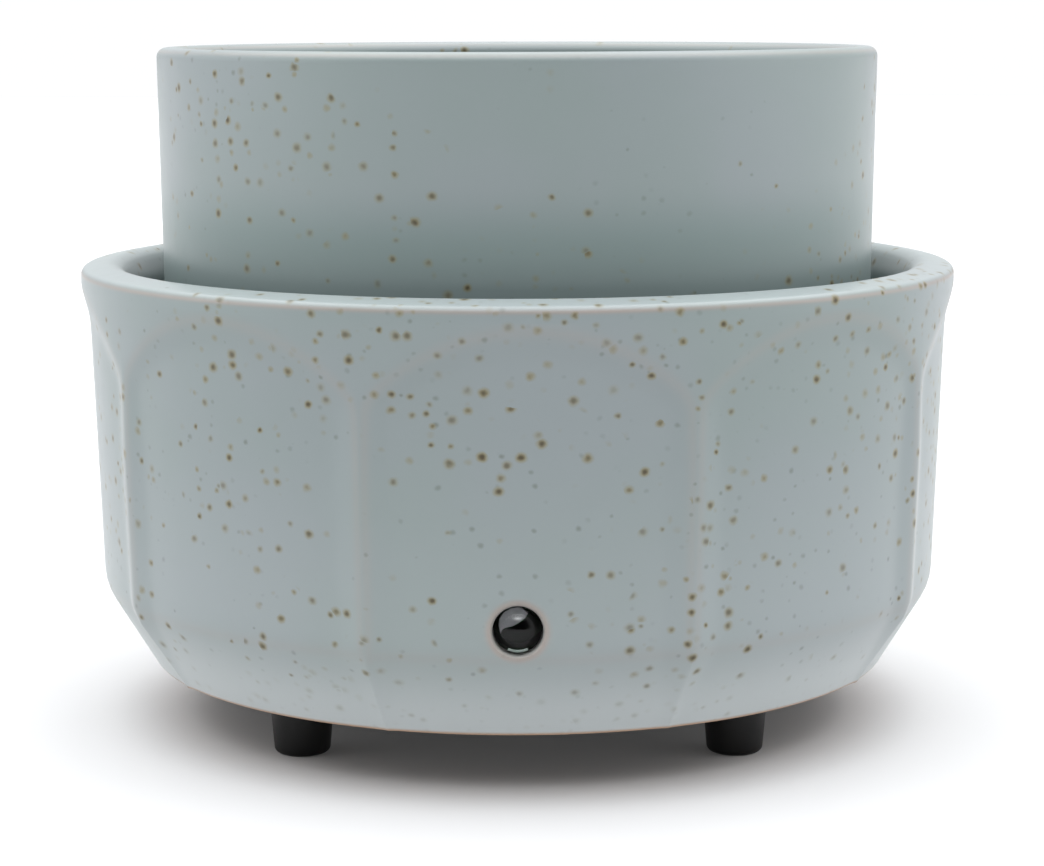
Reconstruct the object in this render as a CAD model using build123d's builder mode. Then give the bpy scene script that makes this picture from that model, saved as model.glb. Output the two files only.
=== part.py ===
"""Two-piece ceramic wax melt warmer: a lift-off dish on a heated, panelled base.

Millimetres, +Z up. The origin is on the table, on the turning axis of the base, and
the indicator lamp faces -Y.
"""
import os
from math import atan2, cos, radians, sin, sqrt, tan

from build123d import *

os.makedirs("parts", exist_ok=True)

# General fits
fit_gap = 0.05  # round a screw, stud or fuse that its hole or clip holds
slip_gap = 0.3  # beside pieces that drop into each other
overrun = 5.0  # how far a cutter runs past what it cuts

# Panelled ceramic base, its outside
panel_count = 9
pattern_turn = 1.4  # degrees that the panels are turned towards +X from the lamp
base_lift = 9.3  # the ceramic's lower edge above the table
base_foot_radius = 59.4
base_edge_round = 0.8
knee_height = 22.3
knee_inset = 2.7  # of the panels at the knee, from the rim
knee_round = 8.0
rim_height = 73.4
rim_width = 8.2
rim_outer_round = 3.0
rim_inner_round = 3.8
wall_top_drop = 5.4  # drops are below the rim's top, and insets from its outside
wall_top_inset = 1.2
rib_height = 1.15
rib_foot_height = 0.5
rib_land = 1.2
rib_shoulder_drop = 27.4
rib_shoulder_inset = 0.65
collar_drop = 17.4
scoop_start_drop = 18.5
scoop_crown_drop = 4.1
scoop_bend_length = 3.85
scoop_swing_rise = 51.6  # of the lying axis that the scoops are turned about, above the rim

# Panelled ceramic base, its inside
base_wall = 5.0
chamfer_wall = 5.8
well_radius = 61.8
ledge_top = 52.0
ledge_thickness = 5.0
ring_height = 5.5
ring_width = 7.9
cover_seat_width = 4.4  # of the ceramic outside the cover
cover_seat_depth = 3.0
chamber_round = 3.0

# Wax dish
dish_top_height = 107.15
dish_rim_gap = 4.4  # from the well to the dish's widest part
dish_taper = 0.5
dish_shoulder_rise = 13.2
dish_foot_radius = 38.0
dish_foot_width = 4.0
dish_foot_height = 1.8
dish_belly_round = 11.0
dish_wall = 4.4
dish_floor = 5.0
dish_draft = 1.2  # how much narrower the bowl is at its floor
dish_bowl_round = 10.0
dish_outer_lip_round = 1.5
dish_inner_lip_round = 2.0

# Hot plate and its gasket
plate_radius = 49.0
plate_thickness = 2.0
plate_edge_bevel = 0.6
gasket_thickness = 1.0
ledge_seat = 5.0  # of the plate on the ledge
gasket_width = 4.4
stud_count = 3
stud_inset = 12.0  # of the studs, from the edge of the mica
stud_turn = 30.0
stud_radius = 2.0
thread_share = 0.35  # of a tie rod, filled by a stud or a screw from each end

# Ribbon heater between two mica discs
mica_gap = 5.0  # to the ledge
mica_thickness = 0.8
mica_hole_radius = 7.0
ribbon_thickness = 0.8
ribbon_width = 2.4
ribbon_insets = (3.5, 7.5, 19.0)  # of the three loops, from the edge of the mica
ribbon_step_angle = 12.0  # from the heater's middle line to each end of a loop
tab_stand_out = 2.0
tab_length = 3.6
tab_width = 4.0
stud_clearance = 0.25

# Clamp plate, nuts, spacers and heat shield
clamp_inset = 2.0
clamp_thickness = 1.2
hex_width = 7.0
nut_height = 3.2
spacer_length = 7.2
spacer_radius = 3.5
spacer_bore = 2.2
shield_margin = 9.0  # outside the heater's tabs
shield_thickness = 0.8
shield_brim_rise = 5.0
shield_brim_flare = 2.5
shield_lead_hole = 2.2

# Thermal fuse, clip and screws
fuse_radius = 2.0
fuse_length = 11.0
fuse_nose = 1.6
fuse_wire_radius = 0.5
fuse_wire_length = 5.0
fuse_offset = 15.0  # behind the turning axis
clip_thickness = 0.6
clip_width = 5.0
clip_ear = 6.0
small_screw_radius = 1.5
small_head_radius = 2.7
small_head_height = 1.8

# Bottom cover
cover_thickness = 2.2
cover_gap = 0.3
spigot_height = 2.2
spigot_width = 1.4
tie_boss_radius = 5.6
tie_boss_height = 3.0
tie_head_radius = 4.0
tie_head_height = 2.5
tie_head_bevel = 0.5
tie_head_gap = 0.3
tie_head_depth = 3.0
foot_boss_radius = 3.2
foot_boss_height = 6.0
foot_pilot_depth = 5.0
vent_count = 20
vent_inset = 18.0
vent_length = 8.0
vent_width = 2.4
slot_recess = 0.7
slot_width = 0.9

# Feet and their screws
foot_names = ("foot_rear_right", "foot_rear_left", "foot_front_left", "foot_front_right")
foot_inset = 7.9
foot_turn = 45.0
foot_top_radius = 5.1
foot_tip_radius = 4.25
foot_tip_round = 1.0
foot_head_recess = 5.5

# Terminal block
block_inset = 26.4  # of the block's middle, from the ceramic's lower edge
block_length = 30.0
block_depth = 12.0
block_height = 10.0
block_edge_round = 0.8
block_ways = 4
way_pitch = 7.0
way_radius = 1.5
way_screw_radius = 1.4
way_screw_length = 3.0
pedestal_height = 3.0
block_screw_radius = 1.25
block_head_radius = 1.9
block_head_height = 1.2

# Inner leads
lead_radius = 0.9
lead_bend_share = 0.33  # of the drop from the crossing to the block
lead_tight_bend = 2.5
lead_way_run = 9.0  # straight run in front of the block
lead_fuse_run = 6.0  # straight run beside the fuse's wires
fuse_lead_drop = 4.5
fuse_lead_back = 14.0
live_turn_x = 17.0
lamp_lead_run = 7.5
lamp_lead_spread = 9.0
lamp_lead_front = 32.0
lamp_lead_gap = 9.0  # before the straight run into the block

# Indicator lamp, holder and board
lamp_height = 26.5
lamp_radius = 3.4
lamp_stand_out = 0.2  # of the dome past the wall
lamp_dome_rise = 2.0
lamp_body_length = 13.0
lamp_flange_radius = 4.8
lamp_flange_thickness = 1.0
lamp_hole_gap = 0.2
lamp_hole_flare = 0.7
holder_radius = 4.9
holder_gap = 0.1
board_width = 10.0
board_height = 9.0
board_thickness = 1.2
board_lead_offset = 2.6
board_lead_drop = 1.9
resistor_radius = 1.1
resistor_length = 5.0
resistor_bevel = 0.4
resistor_rise = 2.2

# Cord inlet at the back
inlet_height = 30.0
inlet_hole_radius = 4.8
inlet_face_margin = 0.5
inlet_face_depth = 0.55
grommet_bore = 2.8
grommet_outer_lip = 2.2
grommet_inner_lip = 1.2
grommet_flange_thickness = 1.5
grommet_edge_bevel = 0.5

# Levels that follow
half_panel = 180 / panel_count
front_angle = -90 + pattern_turn
foot_count = len(foot_names)
rim_side_height = rim_height - rim_outer_round
wall_top_height = rim_height - wall_top_drop
rib_shoulder_height = rim_height - rib_shoulder_drop
collar_height = rim_height - collar_drop
scoop_start_height = rim_height - scoop_start_drop
scoop_crown_height = rim_height - scoop_crown_drop
scoop_swing_height = rim_height + scoop_swing_rise
ledge_bottom = ledge_top - ledge_thickness
cover_seat = base_lift + cover_seat_depth
cover_bottom = cover_seat - cover_thickness
ring_top = base_lift + ring_height
plate_bottom = ledge_top + gasket_thickness
plate_top = plate_bottom + plate_thickness
dish_bottom = plate_top + dish_foot_height
bowl_floor = dish_bottom + dish_floor
dish_shoulder_height = dish_bottom + dish_shoulder_rise
upper_mica_bottom = plate_bottom - mica_thickness
ribbon_bottom = upper_mica_bottom - ribbon_thickness
lower_mica_bottom = ribbon_bottom - mica_thickness
clamp_bottom = lower_mica_bottom - clamp_thickness
nut_bottom = clamp_bottom - nut_height
spacer_bottom = nut_bottom - spacer_length
shield_bottom = spacer_bottom - shield_thickness
tie_boss_top = cover_seat + tie_boss_height
tie_rod_length = shield_bottom - tie_boss_top
stud_thread = tie_rod_length * thread_share
stud_tip = shield_bottom - stud_thread
tie_head_seat = cover_bottom + tie_head_depth
pedestal_top = cover_seat + pedestal_height
block_top = pedestal_top + block_height
way_level = pedestal_top + block_height / 2
lead_crossing_height = (shield_bottom + way_level) / 2
lead_bend = lead_bend_share * (lead_crossing_height - way_level)

# Radii that follow
rim_radius = well_radius + rim_width
wall_top_radius = rim_radius - wall_top_inset
knee_radius = rim_radius - knee_inset
knee_rib_radius = knee_radius + rib_height
rib_shoulder_radius = rim_radius - rib_shoulder_inset
ring_hole_radius = base_foot_radius - ring_width
cover_seat_radius = base_foot_radius - cover_seat_width
foot_circle = cover_seat_radius - foot_inset
vent_circle = cover_seat_radius - vent_inset
block_distance = base_foot_radius - block_inset
ledge_hole_radius = plate_radius - ledge_seat
dish_top_radius = well_radius - dish_rim_gap
dish_low_radius = dish_top_radius - dish_taper
mica_radius = ledge_hole_radius - mica_gap
clamp_radius = mica_radius - clamp_inset
stud_circle = mica_radius - stud_inset
tab_reach = mica_radius + tab_stand_out
shield_radius = tab_reach + shield_margin
thread_bore = stud_radius + fit_gap
stud_bore = stud_radius + stud_clearance
grommet_flange_radius = inlet_hole_radius + grommet_outer_lip
grommet_inner_flange = inlet_hole_radius + grommet_inner_lip
inlet_face_radius = grommet_flange_radius + inlet_face_margin


def wall_radius(height):
    """Radius of the ceramic's panels at a height."""
    if height < knee_height:
        share = (height - base_lift) / (knee_height - base_lift)
        return base_foot_radius + share * (knee_radius - base_foot_radius)
    share = (height - knee_height) / (wall_top_height - knee_height)
    return knee_radius + share * (wall_top_radius - knee_radius)


def collar_radius(height):
    """Radius of the collar, which flares from the ribs' upper radius to the rim."""
    share = (height - collar_height) / (rim_side_height - collar_height)
    return rib_shoulder_radius + share * (rim_radius - rib_shoulder_radius)


def facet_reach(corner_radius):
    """Distance of a flat facet from the axis, where its ribs reach a radius."""
    land_shift = sin(radians(half_panel)) * rib_land / 2
    return corner_radius * cos(radians(half_panel)) + land_shift


def polar(radius, angle, height=0.0):
    """A point at a radius, an angle from +X and a height."""
    return (radius * cos(radians(angle)), radius * sin(radians(angle)), height)


def save(piece, name):
    """Label a finished piece and write it."""
    piece.label = name
    export_step(piece, f"parts/{name}.step")


# Flat facet below the collar, as a bar along the panel
facet_foot = facet_reach(base_foot_radius + rib_foot_height)
facet_knee = facet_reach(knee_rib_radius)
facet_top = facet_reach(rib_shoulder_radius)
collar_reach = collar_radius(scoop_crown_height)
scoop_slope = atan2(collar_reach - facet_top, scoop_crown_height - scoop_start_height)
scoop_bend_round = scoop_bend_length / tan(scoop_slope / 2)
bar_top_height = scoop_start_height - scoop_bend_length
outside = rim_radius + overrun
with BuildPart() as facet_bar:
    with BuildSketch(Plane.XZ):
        with BuildLine():
            FilletPolyline(
                (facet_foot, base_lift - overrun),
                (facet_foot, base_lift),
                (facet_knee, knee_height),
                (facet_top, rib_shoulder_height),
                (facet_top, bar_top_height),
                (outside, bar_top_height),
                (outside, base_lift - overrun),
                radius=[0, 0, knee_round, 0, 0, 0, 0],
                close=True,
            )
        make_face()
    extrude(amount=rim_radius / 2, both=True)

# Scoop that turns the facet out into the collar, swung about a lying axis
with BuildPart() as scoop:
    with BuildSketch(Plane.XZ):
        with BuildLine():
            FilletPolyline(
                (facet_top, rib_shoulder_height),
                (facet_top, scoop_start_height),
                (collar_reach, scoop_crown_height),
                (outside, scoop_crown_height),
                (outside, rib_shoulder_height),
                radius=[0, scoop_bend_round, 0, 0, 0],
                close=True,
            )
        make_face()
    revolve(axis=Axis((0, 0, scoop_swing_height), (1, 0, 0)))

# Ceramic base: round ribbed body, nine facets, and the round wall that fills them
with BuildPart() as base_housing:
    with BuildSketch(Plane.XZ):
        with BuildLine():
            FilletPolyline(
                (0, base_lift),
                (base_foot_radius + rib_foot_height, base_lift),
                (knee_rib_radius, knee_height),
                (rib_shoulder_radius, rib_shoulder_height),
                (rib_shoulder_radius, collar_height),
                (rim_radius, rim_side_height),
                radius=[base_edge_round, knee_round, 0, 0],
            )
            CenterArc((rim_radius - rim_outer_round, rim_side_height), rim_outer_round, 0, 90)
            Polyline((rim_radius - rim_outer_round, rim_height), (0, rim_height), (0, base_lift))
        make_face()
    revolve(axis=Axis.Z)
    with PolarLocations(0, panel_count, start_angle=front_angle):
        add(facet_bar.part, mode=Mode.SUBTRACT)
        add(scoop.part, mode=Mode.SUBTRACT)
    with BuildSketch(Plane.XZ):
        with BuildLine():
            FilletPolyline(
                (0, base_lift),
                (base_foot_radius, base_lift),
                (knee_radius, knee_height),
                (wall_top_radius, wall_top_height),
                (0, wall_top_height),
                radius=[0, base_edge_round, knee_round, 0, 0],
                close=True,
            )
        make_face()
    revolve(axis=Axis.Z)
    # Well above the ledge, with a rounded lip
    with BuildSketch(Plane.XZ):
        with BuildLine():
            Polyline(
                (0, ledge_top),
                (well_radius, ledge_top),
                (well_radius, rim_height - rim_inner_round),
            )
            CenterArc(
                (well_radius + rim_inner_round, rim_height - rim_inner_round), rim_inner_round, 90, 90
            )
            Polyline(
                (well_radius + rim_inner_round, rim_height),
                (well_radius + rim_inner_round, rim_height + overrun),
                (0, rim_height + overrun),
                (0, ledge_top),
            )
        make_face()
    revolve(axis=Axis.Z, mode=Mode.SUBTRACT)
    # Chamber below the ledge
    with BuildSketch(Plane.XZ):
        with BuildLine():
            FilletPolyline(
                (0, ring_top),
                (wall_radius(ring_top) - chamfer_wall, ring_top),
                (knee_radius - base_wall, knee_height),
                (wall_radius(ledge_bottom) - base_wall, ledge_bottom),
                (0, ledge_bottom),
                radius=[0, 0, chamber_round, chamber_round, 0],
                close=True,
            )
        make_face()
    revolve(axis=Axis.Z, mode=Mode.SUBTRACT)
    with BuildSketch(Plane.XY.offset(base_lift)):
        Circle(ring_hole_radius)
    extrude(amount=ring_height, mode=Mode.SUBTRACT)
    with BuildSketch(Plane.XY.offset(base_lift)):
        Circle(cover_seat_radius)
    extrude(amount=cover_seat_depth, mode=Mode.SUBTRACT)
    with BuildSketch(Plane.XY.offset(ledge_bottom)):
        Circle(ledge_hole_radius)
    extrude(amount=ledge_thickness, mode=Mode.SUBTRACT)
    # Lamp hole with a flared mouth, at the front
    lamp_wall = wall_radius(lamp_height)
    lamp_hole = lamp_radius + lamp_hole_gap
    with Locations(Plane((0, -lamp_wall, lamp_height), x_dir=(1, 0, 0), z_dir=(0, -1, 0))):
        CounterSinkHole(lamp_hole, lamp_hole + lamp_hole_flare, depth=base_wall + overrun)
    # Cord inlet with a flat round face, at the back
    inlet_face = wall_radius(inlet_height) - inlet_face_depth
    with BuildSketch(Plane((0, inlet_face, inlet_height), x_dir=(-1, 0, 0), z_dir=(0, 1, 0))):
        Circle(inlet_face_radius)
    extrude(amount=overrun, mode=Mode.SUBTRACT)
    with Locations(Plane((0, inlet_face, inlet_height), x_dir=(-1, 0, 0), z_dir=(0, 1, 0))):
        Hole(inlet_hole_radius, depth=base_wall + overrun)
save(base_housing.part, "base_housing")

# Wax dish: straight wall, rounded belly and a foot ring on the hot plate
with BuildPart() as wax_dish:
    with BuildSketch(Plane.XZ):
        with BuildLine():
            FilletPolyline(
                (0, dish_bottom),
                (dish_low_radius, dish_bottom),
                (dish_low_radius, dish_shoulder_height),
                (dish_top_radius, dish_top_height),
                (dish_top_radius - dish_wall, dish_top_height),
                (dish_top_radius - dish_wall - dish_draft, bowl_floor),
                (0, bowl_floor),
                radius=[
                    0,
                    dish_belly_round,
                    0,
                    dish_outer_lip_round,
                    dish_inner_lip_round,
                    dish_bowl_round,
                    0,
                ],
                close=True,
            )
        make_face()
    revolve(axis=Axis.Z)
    with BuildSketch(Plane.XY.offset(plate_top)):
        Circle(dish_foot_radius)
        Circle(dish_foot_radius - dish_foot_width, mode=Mode.SUBTRACT)
    extrude(amount=dish_foot_height)
save(wax_dish.part, "wax_dish")

# Hot plate with three welded studs
with BuildPart() as hot_plate:
    with BuildSketch(Plane.XY.offset(plate_bottom)):
        Circle(plate_radius)
    extrude(amount=plate_thickness)
    chamfer(hot_plate.edges().group_by(Axis.Z)[-1], plate_edge_bevel)
    with BuildSketch(Plane.XY.offset(stud_tip)):
        with PolarLocations(stud_circle, stud_count, start_angle=stud_turn):
            Circle(stud_radius)
    extrude(amount=plate_bottom - stud_tip)
save(hot_plate.part, "hot_plate")

# Gasket between the plate's edge and the ledge
with BuildPart() as plate_gasket:
    with BuildSketch(Plane.XY.offset(ledge_top)):
        Circle(plate_radius)
        Circle(plate_radius - gasket_width, mode=Mode.SUBTRACT)
    extrude(amount=gasket_thickness)
save(plate_gasket.part, "plate_gasket")

# Mica discs, with holes for the studs
for name, bottom in (("upper_mica", upper_mica_bottom), ("lower_mica", lower_mica_bottom)):
    with BuildPart() as mica:
        with BuildSketch(Plane.XY.offset(bottom)):
            Circle(mica_radius)
            Circle(mica_hole_radius, mode=Mode.SUBTRACT)
            with PolarLocations(stud_circle, stud_count, start_angle=stud_turn):
                Circle(stud_bore, mode=Mode.SUBTRACT)
        extrude(amount=mica_thickness)
    save(mica.part, name)

# Heating ribbon: three loops from one tab to the other, the tabs at the back
loop_start = 90 + ribbon_step_angle
loop_sweep = 360 - 2 * ribbon_step_angle
loop_end = loop_start + loop_sweep
outer_loop, middle_loop, inner_loop = [mica_radius - inset for inset in ribbon_insets]
with BuildPart() as heating_element:
    with BuildSketch(Plane.XY.offset(ribbon_bottom)):
        with BuildLine():
            Line(polar(tab_reach, loop_start), polar(outer_loop, loop_start))
            CenterArc((0, 0), outer_loop, loop_start, loop_sweep)
            Line(polar(outer_loop, loop_end), polar(middle_loop, loop_end))
            CenterArc((0, 0), middle_loop, loop_start, loop_sweep)
            Line(polar(middle_loop, loop_start), polar(inner_loop, loop_start))
            CenterArc((0, 0), inner_loop, loop_start, loop_sweep + ribbon_step_angle)
            Line(polar(inner_loop, 90), polar(tab_reach, 90))
        trace(line_width=ribbon_width)
        for tab_angle in (90, loop_start):
            with Locations(polar(tab_reach, tab_angle)):
                Rectangle(tab_length, tab_width, rotation=tab_angle)
    extrude(amount=ribbon_thickness)
save(heating_element.part, "heating_element")

# Clamp plate under the heater, tapped for the fuse clip's screws
clip_screw_reach = fuse_radius + fit_gap + clip_thickness + clip_ear / 2
with BuildPart() as clamp_plate:
    with BuildSketch(Plane.XY.offset(clamp_bottom)):
        Circle(clamp_radius)
        Circle(mica_hole_radius, mode=Mode.SUBTRACT)
        with PolarLocations(stud_circle, stud_count, start_angle=stud_turn):
            Circle(stud_bore, mode=Mode.SUBTRACT)
        with Locations((0, fuse_offset - clip_screw_reach), (0, fuse_offset + clip_screw_reach)):
            Circle(small_screw_radius + fit_gap, mode=Mode.SUBTRACT)
    extrude(amount=clamp_thickness)
save(clamp_plate.part, "clamp_plate")

# Nuts that clamp the heater
with BuildPart() as clamp_nuts:
    with BuildSketch(Plane.XY.offset(nut_bottom)):
        with PolarLocations(stud_circle, stud_count, start_angle=stud_turn):
            RegularPolygon(hex_width / 2, 6, major_radius=False)
            Circle(thread_bore, mode=Mode.SUBTRACT)
    extrude(amount=nut_height)
save(clamp_nuts.part, "clamp_nuts")

# Spacer tubes between the nuts and the shield
with BuildPart() as shield_spacers:
    with BuildSketch(Plane.XY.offset(spacer_bottom)):
        with PolarLocations(stud_circle, stud_count, start_angle=stud_turn):
            Circle(spacer_radius)
            Circle(spacer_bore, mode=Mode.SUBTRACT)
    extrude(amount=spacer_length)
save(shield_spacers.part, "shield_spacers")

# Heat shield: a shallow pan with a flared brim, and holes for the leads
tab_points = [polar(tab_reach, 90), polar(tab_reach, loop_start)]
neutral_drop = tab_points[0]
with BuildPart() as heat_shield:
    with BuildSketch(Plane.XZ):
        with BuildLine():
            Polyline(
                (0, shield_bottom),
                (shield_radius - shield_brim_flare, shield_bottom),
                (shield_radius, shield_bottom + shield_brim_rise),
                (shield_radius - shield_thickness, shield_bottom + shield_brim_rise),
                (shield_radius - shield_brim_flare - shield_thickness, spacer_bottom),
                (0, spacer_bottom),
                close=True,
            )
        make_face()
    revolve(axis=Axis.Z)
    with BuildSketch(Plane.XY.offset(shield_bottom)):
        with PolarLocations(stud_circle, stud_count, start_angle=stud_turn):
            Circle(stud_bore)
        with Locations(neutral_drop[:2], (live_turn_x, fuse_offset)):
            Circle(shield_lead_hole)
    extrude(amount=shield_thickness, mode=Mode.SUBTRACT)
save(heat_shield.part, "heat_shield")

# Hexagonal tie rods from the shield down to the cover
with BuildPart() as tie_rods:
    with BuildSketch(Plane.XY.offset(tie_boss_top)):
        with PolarLocations(stud_circle, stud_count, start_angle=stud_turn):
            RegularPolygon(hex_width / 2, 6, major_radius=False)
            Circle(thread_bore, mode=Mode.SUBTRACT)
    extrude(amount=tie_rod_length)
save(tie_rods.part, "tie_rods")

# Bottom cover: disc with a locating spigot, bosses, vents and a pedestal
block_side = block_length / 2 + vent_width
all_vent_angles = [360 / vent_count * (index + 0.5) for index in range(vent_count)]
vent_angles = [
    angle
    for angle in all_vent_angles
    if sin(radians(angle)) < 0 or abs(vent_circle * cos(radians(angle))) > block_side
]
with BuildPart() as bottom_cover:
    with BuildSketch(Plane.XY.offset(cover_bottom)):
        Circle(cover_seat_radius - cover_gap)
    extrude(amount=cover_thickness)
    with BuildSketch(Plane.XY.offset(cover_seat)):
        Circle(ring_hole_radius - cover_gap)
        Circle(ring_hole_radius - cover_gap - spigot_width, mode=Mode.SUBTRACT)
    extrude(amount=spigot_height)
    with BuildSketch(Plane.XY.offset(cover_seat)):
        with PolarLocations(stud_circle, stud_count, start_angle=stud_turn):
            Circle(tie_boss_radius)
    extrude(amount=tie_boss_height)
    with BuildSketch(Plane.XY.offset(cover_seat)):
        with PolarLocations(foot_circle, foot_count, start_angle=foot_turn):
            Circle(foot_boss_radius)
    extrude(amount=foot_boss_height)
    with BuildSketch(Plane.XY.offset(cover_seat)):
        with Locations((0, block_distance)):
            Rectangle(block_length, block_depth)
    extrude(amount=pedestal_height)
    with BuildSketch(Plane.XY.offset(cover_bottom)):
        with PolarLocations(stud_circle, stud_count, start_angle=stud_turn):
            Circle(tie_head_radius + tie_head_gap)
    extrude(amount=tie_head_depth, mode=Mode.SUBTRACT)
    with BuildSketch(Plane.XY.offset(tie_head_seat)):
        with PolarLocations(stud_circle, stud_count, start_angle=stud_turn):
            Circle(stud_bore)
    extrude(amount=tie_boss_top - tie_head_seat, mode=Mode.SUBTRACT)
    with BuildSketch(Plane.XY.offset(cover_bottom)):
        with PolarLocations(foot_circle, foot_count, start_angle=foot_turn):
            Circle(small_screw_radius + fit_gap)
    extrude(amount=cover_thickness + foot_pilot_depth, mode=Mode.SUBTRACT)
    with BuildSketch(Plane.XY.offset(cover_bottom)):
        for vent_angle in vent_angles:
            with Locations(polar(vent_circle, vent_angle)):
                SlotOverall(vent_length, vent_width, rotation=vent_angle)
    extrude(amount=cover_thickness, mode=Mode.SUBTRACT)
    with BuildSketch(Plane.XY.offset(cover_seat)):
        with Locations((0, block_distance)):
            Circle(block_screw_radius + fit_gap)
    extrude(amount=pedestal_height, mode=Mode.SUBTRACT)
save(bottom_cover.part, "bottom_cover")

# Tie screws, up through the cover into the tie rods
with BuildPart() as tie_screws:
    with BuildSketch(Plane.XY.offset(tie_head_seat - tie_head_height)):
        with PolarLocations(stud_circle, stud_count, start_angle=stud_turn):
            Circle(tie_head_radius)
    extrude(amount=tie_head_height)
    chamfer(tie_screws.edges().group_by(Axis.Z)[0], tie_head_bevel)
    with BuildSketch(Plane.XY.offset(tie_head_seat)):
        with PolarLocations(stud_circle, stud_count, start_angle=stud_turn):
            Circle(stud_radius)
    extrude(amount=tie_boss_top - tie_head_seat + stud_thread)
    with BuildSketch(Plane.XY.offset(tie_head_seat - tie_head_height)):
        with PolarLocations(stud_circle, stud_count, start_angle=stud_turn):
            Rectangle(tie_head_radius, slot_width)
            Rectangle(slot_width, tie_head_radius)
    extrude(amount=slot_recess * 2, mode=Mode.SUBTRACT)
save(tie_screws.part, "tie_screws")

# Feet: tapered rubber, each with a recess for its screw
for index, name in enumerate(foot_names):
    foot_place = Plane(polar(foot_circle, foot_turn + 360 / foot_count * index))
    with BuildPart() as foot:
        with BuildSketch(foot_place):
            Circle(foot_tip_radius)
        with BuildSketch(foot_place.offset(cover_bottom)):
            Circle(foot_top_radius)
        loft()
        fillet(foot.edges().group_by(Axis.Z)[0], foot_tip_round)
        with BuildSketch(foot_place):
            Circle(small_head_radius + slip_gap)
        extrude(amount=foot_head_recess, mode=Mode.SUBTRACT)
        with BuildSketch(foot_place):
            Circle(small_screw_radius + fit_gap)
        extrude(amount=cover_bottom, mode=Mode.SUBTRACT)
    save(foot.part, name)

# Foot screws
with BuildPart() as foot_screws:
    with BuildSketch(Plane.XY.offset(foot_head_recess - small_head_height)):
        with PolarLocations(foot_circle, foot_count, start_angle=foot_turn):
            Circle(small_head_radius)
    extrude(amount=small_head_height)
    with BuildSketch(Plane.XY.offset(foot_head_recess)):
        with PolarLocations(foot_circle, foot_count, start_angle=foot_turn):
            Circle(small_screw_radius)
    extrude(amount=cover_bottom - foot_head_recess + cover_thickness + foot_pilot_depth - slip_gap)
    with BuildSketch(Plane.XY.offset(foot_head_recess - small_head_height)):
        with PolarLocations(foot_circle, foot_count, start_angle=foot_turn):
            Rectangle(small_head_radius, slot_width)
            Rectangle(slot_width, small_head_radius)
    extrude(amount=slot_recess, mode=Mode.SUBTRACT)
save(foot_screws.part, "foot_screws")

# Thermal fuse under the clamp plate, with its wires along X
fuse_level = clamp_bottom - fuse_radius - fit_gap
fuse_axis = Plane((0, fuse_offset, fuse_level), x_dir=(0, 1, 0), z_dir=(1, 0, 0))
with BuildPart() as thermal_fuse:
    with BuildSketch(fuse_axis):
        Circle(fuse_radius)
    extrude(amount=fuse_length / 2, both=True)
    chamfer(thermal_fuse.edges().filter_by(GeomType.CIRCLE), fuse_nose / 2)
    with BuildSketch(fuse_axis):
        Circle(fuse_wire_radius)
    extrude(amount=fuse_length / 2 + fuse_wire_length, both=True)
save(thermal_fuse.part, "thermal_fuse")

# Clip that straps the fuse to the clamp plate
strap_inner = fuse_radius + fit_gap
strap_outer = strap_inner + clip_thickness
with BuildPart() as fuse_clip:
    with BuildSketch(Plane((0, fuse_offset, clamp_bottom), x_dir=(0, 1, 0), z_dir=(1, 0, 0))):
        with Locations((0, -strap_inner)):
            Circle(strap_outer)
        with Locations((0, -strap_inner / 2)):
            Rectangle(2 * strap_outer, strap_inner)
        with Locations((0, strap_outer)):
            Rectangle(2 * strap_outer, 2 * strap_outer, mode=Mode.SUBTRACT)
        with Locations((0, -clip_thickness / 2)):
            Rectangle(2 * (strap_outer + clip_ear), clip_thickness)
        with Locations((0, -strap_inner)):
            Circle(strap_inner, mode=Mode.SUBTRACT)
        with Locations((0, -strap_inner / 2)):
            Rectangle(2 * strap_inner, strap_inner, mode=Mode.SUBTRACT)
    extrude(amount=clip_width / 2, both=True)
    with BuildSketch(Plane.XY.offset(clamp_bottom)):
        with Locations((0, fuse_offset - clip_screw_reach), (0, fuse_offset + clip_screw_reach)):
            Circle(small_screw_radius + fit_gap)
    extrude(amount=-clip_thickness, mode=Mode.SUBTRACT)
save(fuse_clip.part, "fuse_clip")

# Screws that hold the clip, up into the clamp plate
clip_underside = clamp_bottom - clip_thickness
with BuildPart() as fuse_screws:
    with BuildSketch(Plane.XY.offset(clip_underside)):
        with Locations((0, fuse_offset - clip_screw_reach), (0, fuse_offset + clip_screw_reach)):
            Circle(small_head_radius)
    extrude(amount=-small_head_height)
    with BuildSketch(Plane.XY.offset(clip_underside)):
        with Locations((0, fuse_offset - clip_screw_reach), (0, fuse_offset + clip_screw_reach)):
            Circle(small_screw_radius)
    extrude(amount=clip_thickness + clamp_thickness)
save(fuse_screws.part, "fuse_screws")

# Terminal block with four ways, on the cover's pedestal
way_places = [way_pitch * (index - (block_ways - 1) / 2) for index in range(block_ways)]
block_front = block_distance - block_depth / 2
screw_well = block_top - way_level - way_radius
with BuildPart() as terminal_block:
    with BuildSketch(Plane.XY.offset(pedestal_top)):
        with Locations((0, block_distance)):
            RectangleRounded(block_length, block_depth, block_edge_round)
    extrude(amount=block_height)
    with BuildSketch(Plane((0, block_front, way_level), x_dir=(1, 0, 0), z_dir=(0, 1, 0))):
        with Locations(*[(place, 0) for place in way_places]):
            Circle(way_radius)
    extrude(amount=block_depth, mode=Mode.SUBTRACT)
    with BuildSketch(Plane.XY.offset(block_top)):
        with Locations(*[(place, block_distance) for place in way_places]):
            Circle(way_screw_radius + fit_gap)
    extrude(amount=-screw_well - way_radius, mode=Mode.SUBTRACT)
    with BuildSketch(Plane.XY.offset(pedestal_top)):
        with Locations((0, block_distance)):
            Circle(block_screw_radius + fit_gap)
    extrude(amount=block_height, mode=Mode.SUBTRACT)
save(terminal_block.part, "terminal_block")

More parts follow.
